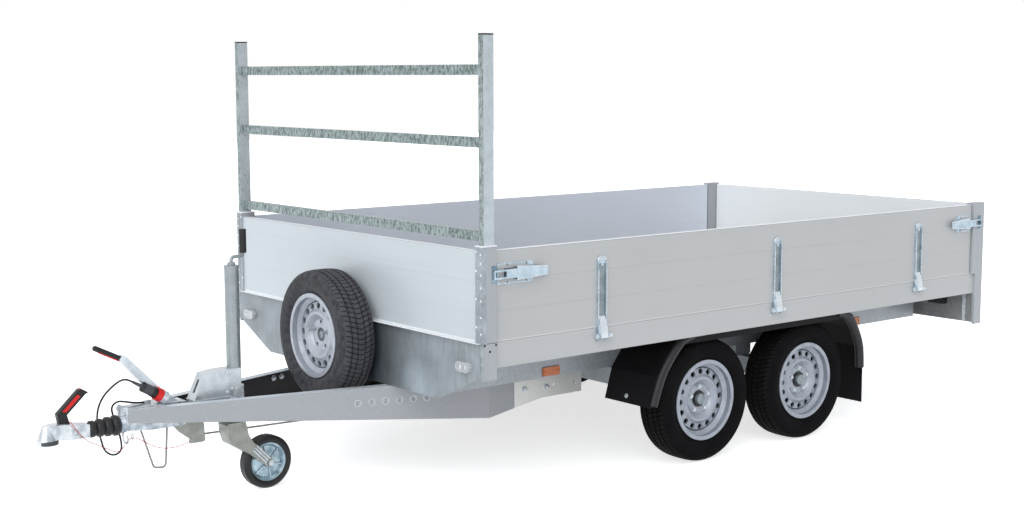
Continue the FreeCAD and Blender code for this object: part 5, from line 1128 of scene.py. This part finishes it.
# %% Rolled edges and flap bolts
GUARD_FRONT, GUARD_REAR = behind(0.992), behind(2.312)
ROLL_RADIUS, ROLL_SIDE = 0.0225, 0.9045
REAR_ROLL = [(-0.070, 0.302), (-0.070, 0.400), (-0.028, 0.490), (0.012, 0.548), (0.060, 0.582),
             (0.110, 0.592)]
FRONT_ROLL = [(-0.215, 0.592), (-0.165, 0.584), (-0.125, 0.552), (-0.076, 0.500),
              (-0.018, 0.422), (0.022, 0.305)]
flap_places = []
for side_name, side in SIDES.items():
    rolls = []
    for start, line in ((GUARD_REAR, REAR_ROLL), (GUARD_FRONT, FRONT_ROLL)):
        route = [(start + x, side * ROLL_SIDE, z) for x, z in line]
        rolls.append(bent_rod("guard_roll", route, ROLL_RADIUS))
    dress(join(rolls, f"guard_rolls_{side_name}"), guard_roll_highlight, "chassis", 60)
    flap_places += [((GUARD_REAR - 0.095, side * y, 0.335), (-1, 0, 0)) for y in (0.70, 0.84)]
    flap_places.append(((GUARD_FRONT + 0.040, side * 0.760, 0.330), (1, 0, 0.3)))
guard_bolt = hex_bolt(0.0065, 0.005, 1.6)
dress(set_out(guard_bolt, "guard_bolts", flap_places), plate_zinc)
print("guard bolts:", len(flap_places))

# %% [markdown]
# ## Drawbar
# The rear end of each beam is bolted to the chassis through a plate that the beam's finish paints
# lighter, as painted light; two more bolts hold the spare wheel's bracket to the inner side of
# the beam. The heads are hexagons with a turned chamfer. Six pressed dimples run along each
# beam's outer side, and their raised rims are thin rings in lighter zinc plate, as painted
# highlights. All of them follow the beams' slant.

# %% Drawbar bolts and dimples
BEAM_APEX, BEAM_SLANT, BEAM_NORMAL = 1.050, 0.2743, (0.265, 0.964)
# Painted highlights: the dimples' rims are rings in lighter zinc plate.
DIMPLE_HIGHLIGHT_RING = [(-0.0010, 0.0160), (0.0016, 0.0152), (0.0016, 0.0130), (-0.0010, 0.0116)]


def beam_side(distance, offset):
    """Y of a beam's side, at a distance ahead of the bed."""
    return offset + (BEAM_APEX - distance) * BEAM_SLANT


beam_bolt = hex_bolt(0.0095, 0.008, 1.35)
dimple_highlight_ring = turned("dimple_pattern", DIMPLE_HIGHLIGHT_RING, (0, 0, 0), "Z", 24)
beam_places, dimple_places = [], []
normal_x, normal_y = BEAM_NORMAL
for side in SIDES.values():
    beam_places += [((behind(distance), side * 0.452, height), (0, side, 0))
                    for distance, height in ((0.625, 0.355), (0.752, 0.348))]
    beam_places += [((ahead(distance), -side * beam_side(distance, 0.0385), 0.401),
                     (-normal_x, side * normal_y, 0)) for distance in (0.223, 0.176)]
    for index in range(6):
        distance = 0.143 - 0.059 * index
        dimple_places.append(((ahead(distance), side * beam_side(distance, 0.043), 0.370),
                              (normal_x, side * normal_y, 0)))
dress(set_out(beam_bolt, "beam_bolts", beam_places), plate_zinc)
dress(set_out(dimple_highlight_ring, "dimple_rims", dimple_places), plate_zinc, "chassis", 50)
print("beam bolts:", len(beam_places), "dimples:", len(dimple_places))

# %% [markdown]
# ## Overrun coupling
# The pressed head carries a dark wear ring round its cup and a bolt through its neck. The
# handle is black plastic with a red inlay on both cheeks. The cast housing ends in a flange
# held by four bolts, and a spring hook hangs from it for the breakaway wire.

# %% Coupling details
CUP = (ahead(1.3622), 0, 0.333)
CUP_RING = [(0.0, 0.0385), (0.0, 0.0408), (0.0022, 0.0414), (0.0145, 0.0414), (0.017, 0.0400),
            (0.017, 0.0385)]
CHEEK_INLAY = [(1.2884, 0.4491), (1.3056, 0.4530), (1.2425, 0.5126), (1.2298, 0.5041)]
TIP_INLAY = [(1.2330, 0.5300), (1.2262, 0.5341), (1.1985, 0.5172), (1.2010, 0.5142)]
HOOK = [(1.052, 0.004, 0.342), (1.064, 0.012, 0.326), (1.060, 0.014, 0.300),
        (1.046, 0.010, 0.284), (1.034, 0.004, 0.296), (1.040, 0.000, 0.316)]
CLIP = [(0, 0.0325), (0, 0.0352), (0.007, 0.0352), (0.007, 0.0325)]
dress(turned("cup_ring", CUP_RING, CUP, "Z", 40), grey_plastic)
inlays = []
for side in SIDES.values():
    cheek = [(ahead(x), side * 0.0117, z) for x, z in CHEEK_INLAY]
    inlays.append(sheet("handle_inlay", cheek, (0, side * 0.0011, 0)))
tip = [(ahead(x), -0.0105, z) for x, z in TIP_INLAY]
inlays.append(sheet("handle_tip", tip, (0, 0.021, 0)))
dress(join(inlays, "handle_inlays"), red_plastic)
flange_bolt = hex_bolt(0.0075, 0.006, 1.4)
coupling_places = [((ahead(1.058), y, z), (1, 0, 0)) for y in (-0.031, 0.031)
                   for z in (0.360, 0.424)]
coupling_places += [((ahead(1.262), side * 0.0300, 0.372), (0, side, 0))
                    for side in SIDES.values()]
dress(set_out(flange_bolt, "coupling_bolts", coupling_places), plate_zinc)
hook = bent_rod("spring_hook", [(ahead(x), y, z) for x, y, z in HOOK], 0.0034)
dress(hook, plate_zinc, "chassis", 60)
dress(turned("bellows_clip", CLIP, (ahead(1.0730), 0, 0.366), "X", 36), plate_dark)
print("coupling bolts:", len(coupling_places))

# %% [markdown]
# ## Brake lever
# The lever ends in a black grip with a red inlay along its underside. The trailer's plug is
# parked in a socket on the lever whose front ring is bright red, so a driver sees at once that
# the lamps aren't connected. The plug has a knurled collar.

# %% Lever details
GRIP_START = Vector((ahead(1.052), 0, 0.626))
run = Vector((ahead(1.159), 0, 0.681)) - GRIP_START
drop = Vector((run.z, 0, -run.x)).normalized() * 0.0042
inlay = bar("grip_inlay", GRIP_START + run * 0.10 + drop, GRIP_START + run * 0.84 + drop, 0.0086)
PLUG_SLOPE = math.radians(31.1)
PLUG_MOUTH = Vector((ahead(1.022), 0.0325, 0.536))
back = Vector((-math.cos(PLUG_SLOPE), 0, -math.sin(PLUG_SLOPE)))
socket_front = PLUG_MOUTH + back * 0.112


def plug_ring(name, start, end, radius, sides):
    """A ring round the parked plug, from start to end behind the socket's front."""
    return bar(name, socket_front + back * start, socket_front + back * end, radius, sides)


red_ring = plug_ring("socket_ring", -0.0008, 0.024, 0.0272, 36)
dress(join([inlay, red_ring], "lever_red"), red_plastic)
collars = [plug_ring("plug_collar", -0.002, -0.020, 0.0218, 24),
           plug_ring("plug_neck", -0.060, -0.066, 0.0205, 24)]
dress(join(collars, "plug_collars"), hard_black)
pivot = hex_bolt(0.0085, 0.007, 1.4)
pivot_places = [((ahead(0.872), side * 0.0121, 0.4475), (0, side, 0)) for side in SIDES.values()]
dress(set_out(pivot, "lever_pivot", pivot_places), plate_zinc)
print("grip inlay length", round(run.length * 0.74, 3))

# %% [markdown]
# ## Jockey wheel
# The wheel's pressed rim has six radial ribs round a black bearing. The fork's cheeks are
# stiffened by three pressed beads that run down to the axle, and the clamp bracket is bolted
# to the cross plate from its side.

# %% Jockey wheel details
JOCKEY = Vector((ahead(0.420), 0, 0.113))
RIB_COUNT, RIB_START = 6, 0.3
CLAMP_BOLTS = ((0.588, 0.452), (0.588, 0.505), (0.610, 0.520), (0.610, 0.440))
TUBE_BAND = [(0, 0.0302), (0, 0.0316), (0.010, 0.0316), (0.010, 0.0302)]
ribs, hubs, beads, nuts = [], [], [], []
for side in SIDES.values():
    outward = Vector((0, side, 0))
    for index in range(RIB_COUNT):
        angle = math.tau * (index + RIB_START) / RIB_COUNT
        arm = Vector((math.cos(angle), 0, math.sin(angle)))
        ribs.append(bar("rim_rib", JOCKEY + arm * 0.0235 + outward * 0.0165,
                        JOCKEY + arm * 0.0700 + outward * 0.0125, 0.0042, 10))
    hubs.append(bar("rim_hub", JOCKEY + outward * 0.024, JOCKEY + outward * 0.0318, 0.0175))
    for offset in (-0.012, 0.0, 0.012):
        x, z = offset * 0.70, -offset * 0.71
        beads.append(bar("fork_bead", (ahead(0.492) + x, side * 0.0392, 0.188 + z),
                         (ahead(0.430) + x, side * 0.0392, 0.124 + z), 0.0046, 12))
    nuts.append(((ahead(0.420), side * 0.0455, 0.113), (0, side, 0)))
dress(join(ribs, "jockey_ribs"), plate_blue, "nose_wheel", 50)
dress(join(hubs, "jockey_bearing"), hard_black, "nose_wheel")
dress(join(beads, "fork_beads"), clear_steel, "nose_castor", 50)
jockey_nut = hex_bolt(0.0095, 0.006, 1.3)
dress(set_out(jockey_nut, "jockey_nuts", nuts), plate_zinc, "nose_castor")
clamp_bolt = hex_bolt(0.0062, 0.005, 1.3)
clamp_places = [((ahead(x), side * 0.0356, z), (0, side, 0)) for side in SIDES.values()
                for x, z in CLAMP_BOLTS]
dress(set_out(clamp_bolt, "clamp_bolts", clamp_places), wedge_zinc)
dress(turned("tube_band", TUBE_BAND, (ahead(0.560), 0, 0.946), "Z", 36), bright_tube)
print("jockey ribs:", len(SIDES) * RIB_COUNT)

# %% [markdown]
# ## Lamps
# Behind each clear front lens sits a bright dome that throws the bulb's light forward. A rear
# lamp has three fields: amber for turning, red for the tail and brake, and a clear one for
# reversing; the prisms are in their finish.

# %% Lamp details
DOME = [(0, 0.0085), (0.0008, 0.0080), (0.0022, 0.0050), (0.0028, 0.0001)]
BOARD_FACE = behind(3.240)
LAMP_FACE = BOARD_FACE - 0.050
FIELD_X, FIELD_Z = (LAMP_FACE - 0.0012, LAMP_FACE + 0.002), (0.466, 0.554)
domes = [turned("lamp_dome", DOME, (ahead(0.0189), side * y, 0.593), "X", 20)
         for side in SIDES.values() for y in (0.832, 0.864)]
dress(join(domes, "lamp_domes"), bright_chrome)
amber, clear = [], []
for side in SIDES.values():
    amber.append(slab("lamp_amber", FIELD_X, (side * 0.931, side * 0.868), FIELD_Z, 0.0004))
    clear.append(slab("lamp_clear", FIELD_X, (side * 0.762, side * 0.707), FIELD_Z, 0.0004))
dress(join(amber, "lamp_ambers"), lens_orange)
dress(join(clear, "lamp_clears"), lens_clear)
print("lamp domes:", len(SIDES) * 2)

# %% [markdown]
# ## Wiring behind the lamp board
# The lamps' cable runs out of the chassis rail, hangs in a short loop and ends in a junction box
# on the front of the lamp board. Rear corner strips stiffen the posts beside it.

# %% Junction box and loops
LOOP = [(0.012, 0.700, 0.545), (0.016, 0.640, 0.535), (0.022, 0.560, 0.500),
        (0.030, 0.480, 0.505), (0.030, 0.420, 0.540), (0.020, 0.400, 0.588)]
boxes, loops, corner_strips = [], [], []
for side in SIDES.values():
    boxes.append(slab("junction_box", (BOARD_FACE - 0.001, BOARD_FACE + 0.034),
                      (side * 0.800, side * 0.700), (0.520, 0.572), 0.005))
    for x_shift, z_shift, radius in ((0.0, 0.0, 0.0075), (0.006, 0.018, 0.0060)):
        route = [(BOARD_FACE + x + x_shift, side * y, z + z_shift) for x, y, z in LOOP]
        loops.append(bent_rod("lamp_loop", route, radius))
    corner_strips.append(slab("corner_strip", (BOARD_FACE - 0.001, BOARD_FACE + 0.004),
                              (side * 0.896, side * 0.912), (0.442, 0.592)))
dress(join(boxes, "junction_boxes"), hard_black)
dress(join(loops, "lamp_loops"), cable_black, "chassis", 60)
dress(join(corner_strips, "corner_strips"), wedge_zinc)
print("lamp loops joined to", len(SIDES), "boxes")

# %% [markdown]
# ## Rivets and small bolts
# Short rows of fasteners show how the bed is held together: screws at the ends of the edge
# profile, bolts under it where the cross members end, and the bolts of the side reflectors.

# %% Small fasteners
CROSS_MEMBERS = (0.160, 0.757, 1.355, 1.952, 2.550, 3.147)
REFLECTORS = (0.588, 2.640)
bed_places, reflector_places = [], []
for side in SIDES.values():
    bed_places += [((behind(distance), side * HALF_WIDTH, 0.640), (0, side, 0))
                   for distance in (0.020, 3.285)]
    bed_places += [((behind(distance), side * 0.925, 0.593), (0, 0, -1))
                   for distance in CROSS_MEMBERS]
    reflector_places += [((behind(start + inset), side * 0.627, 0.461), (0, side, 0))
                         for start in REFLECTORS for inset in (0.010, 0.082)]
dress(set_out(rivet, "bed_rivets", bed_places), plate_zinc)
dress(set_out(rivet, "reflector_rivets", reflector_places), lens_orange)
patterns = [piece for piece in scene.objects if "pattern" in piece.name]
print("small fasteners:", len(bed_places) + len(reflector_places), "patterns:", len(patterns))
for pattern in patterns:
    bpy.data.objects.remove(pattern)

# %% [markdown]
# ## Last cells
# A plain white floor catches a faint shadow; it glows for the camera, so it melts into the
# background.

# %% Floor
deselect()
bpy.ops.mesh.primitive_plane_add(size=60, location=(0, 0, -0.001))
floor = bpy.context.object
floor.name = "studio_floor"
bpy.ops.object.transform_apply(location=True)
floor_paint, shader = new_finish("studio_floor", Roughness=0.9, Specular_IOR_Level=0.1,
                                 Emission_Color=(1, 1, 1, 1))
fleck = noise(coordinates(shader), 3, 3)
feed(shader, Base_Color=ramp(fleck, (0.86,) * 3, (0.90,) * 3),
     Emission_Strength=span(seen_straight(shader), 0.0, 0.68))
paint(floor, floor_paint)
print("floor at z", floor.data.vertices[0].co.z)
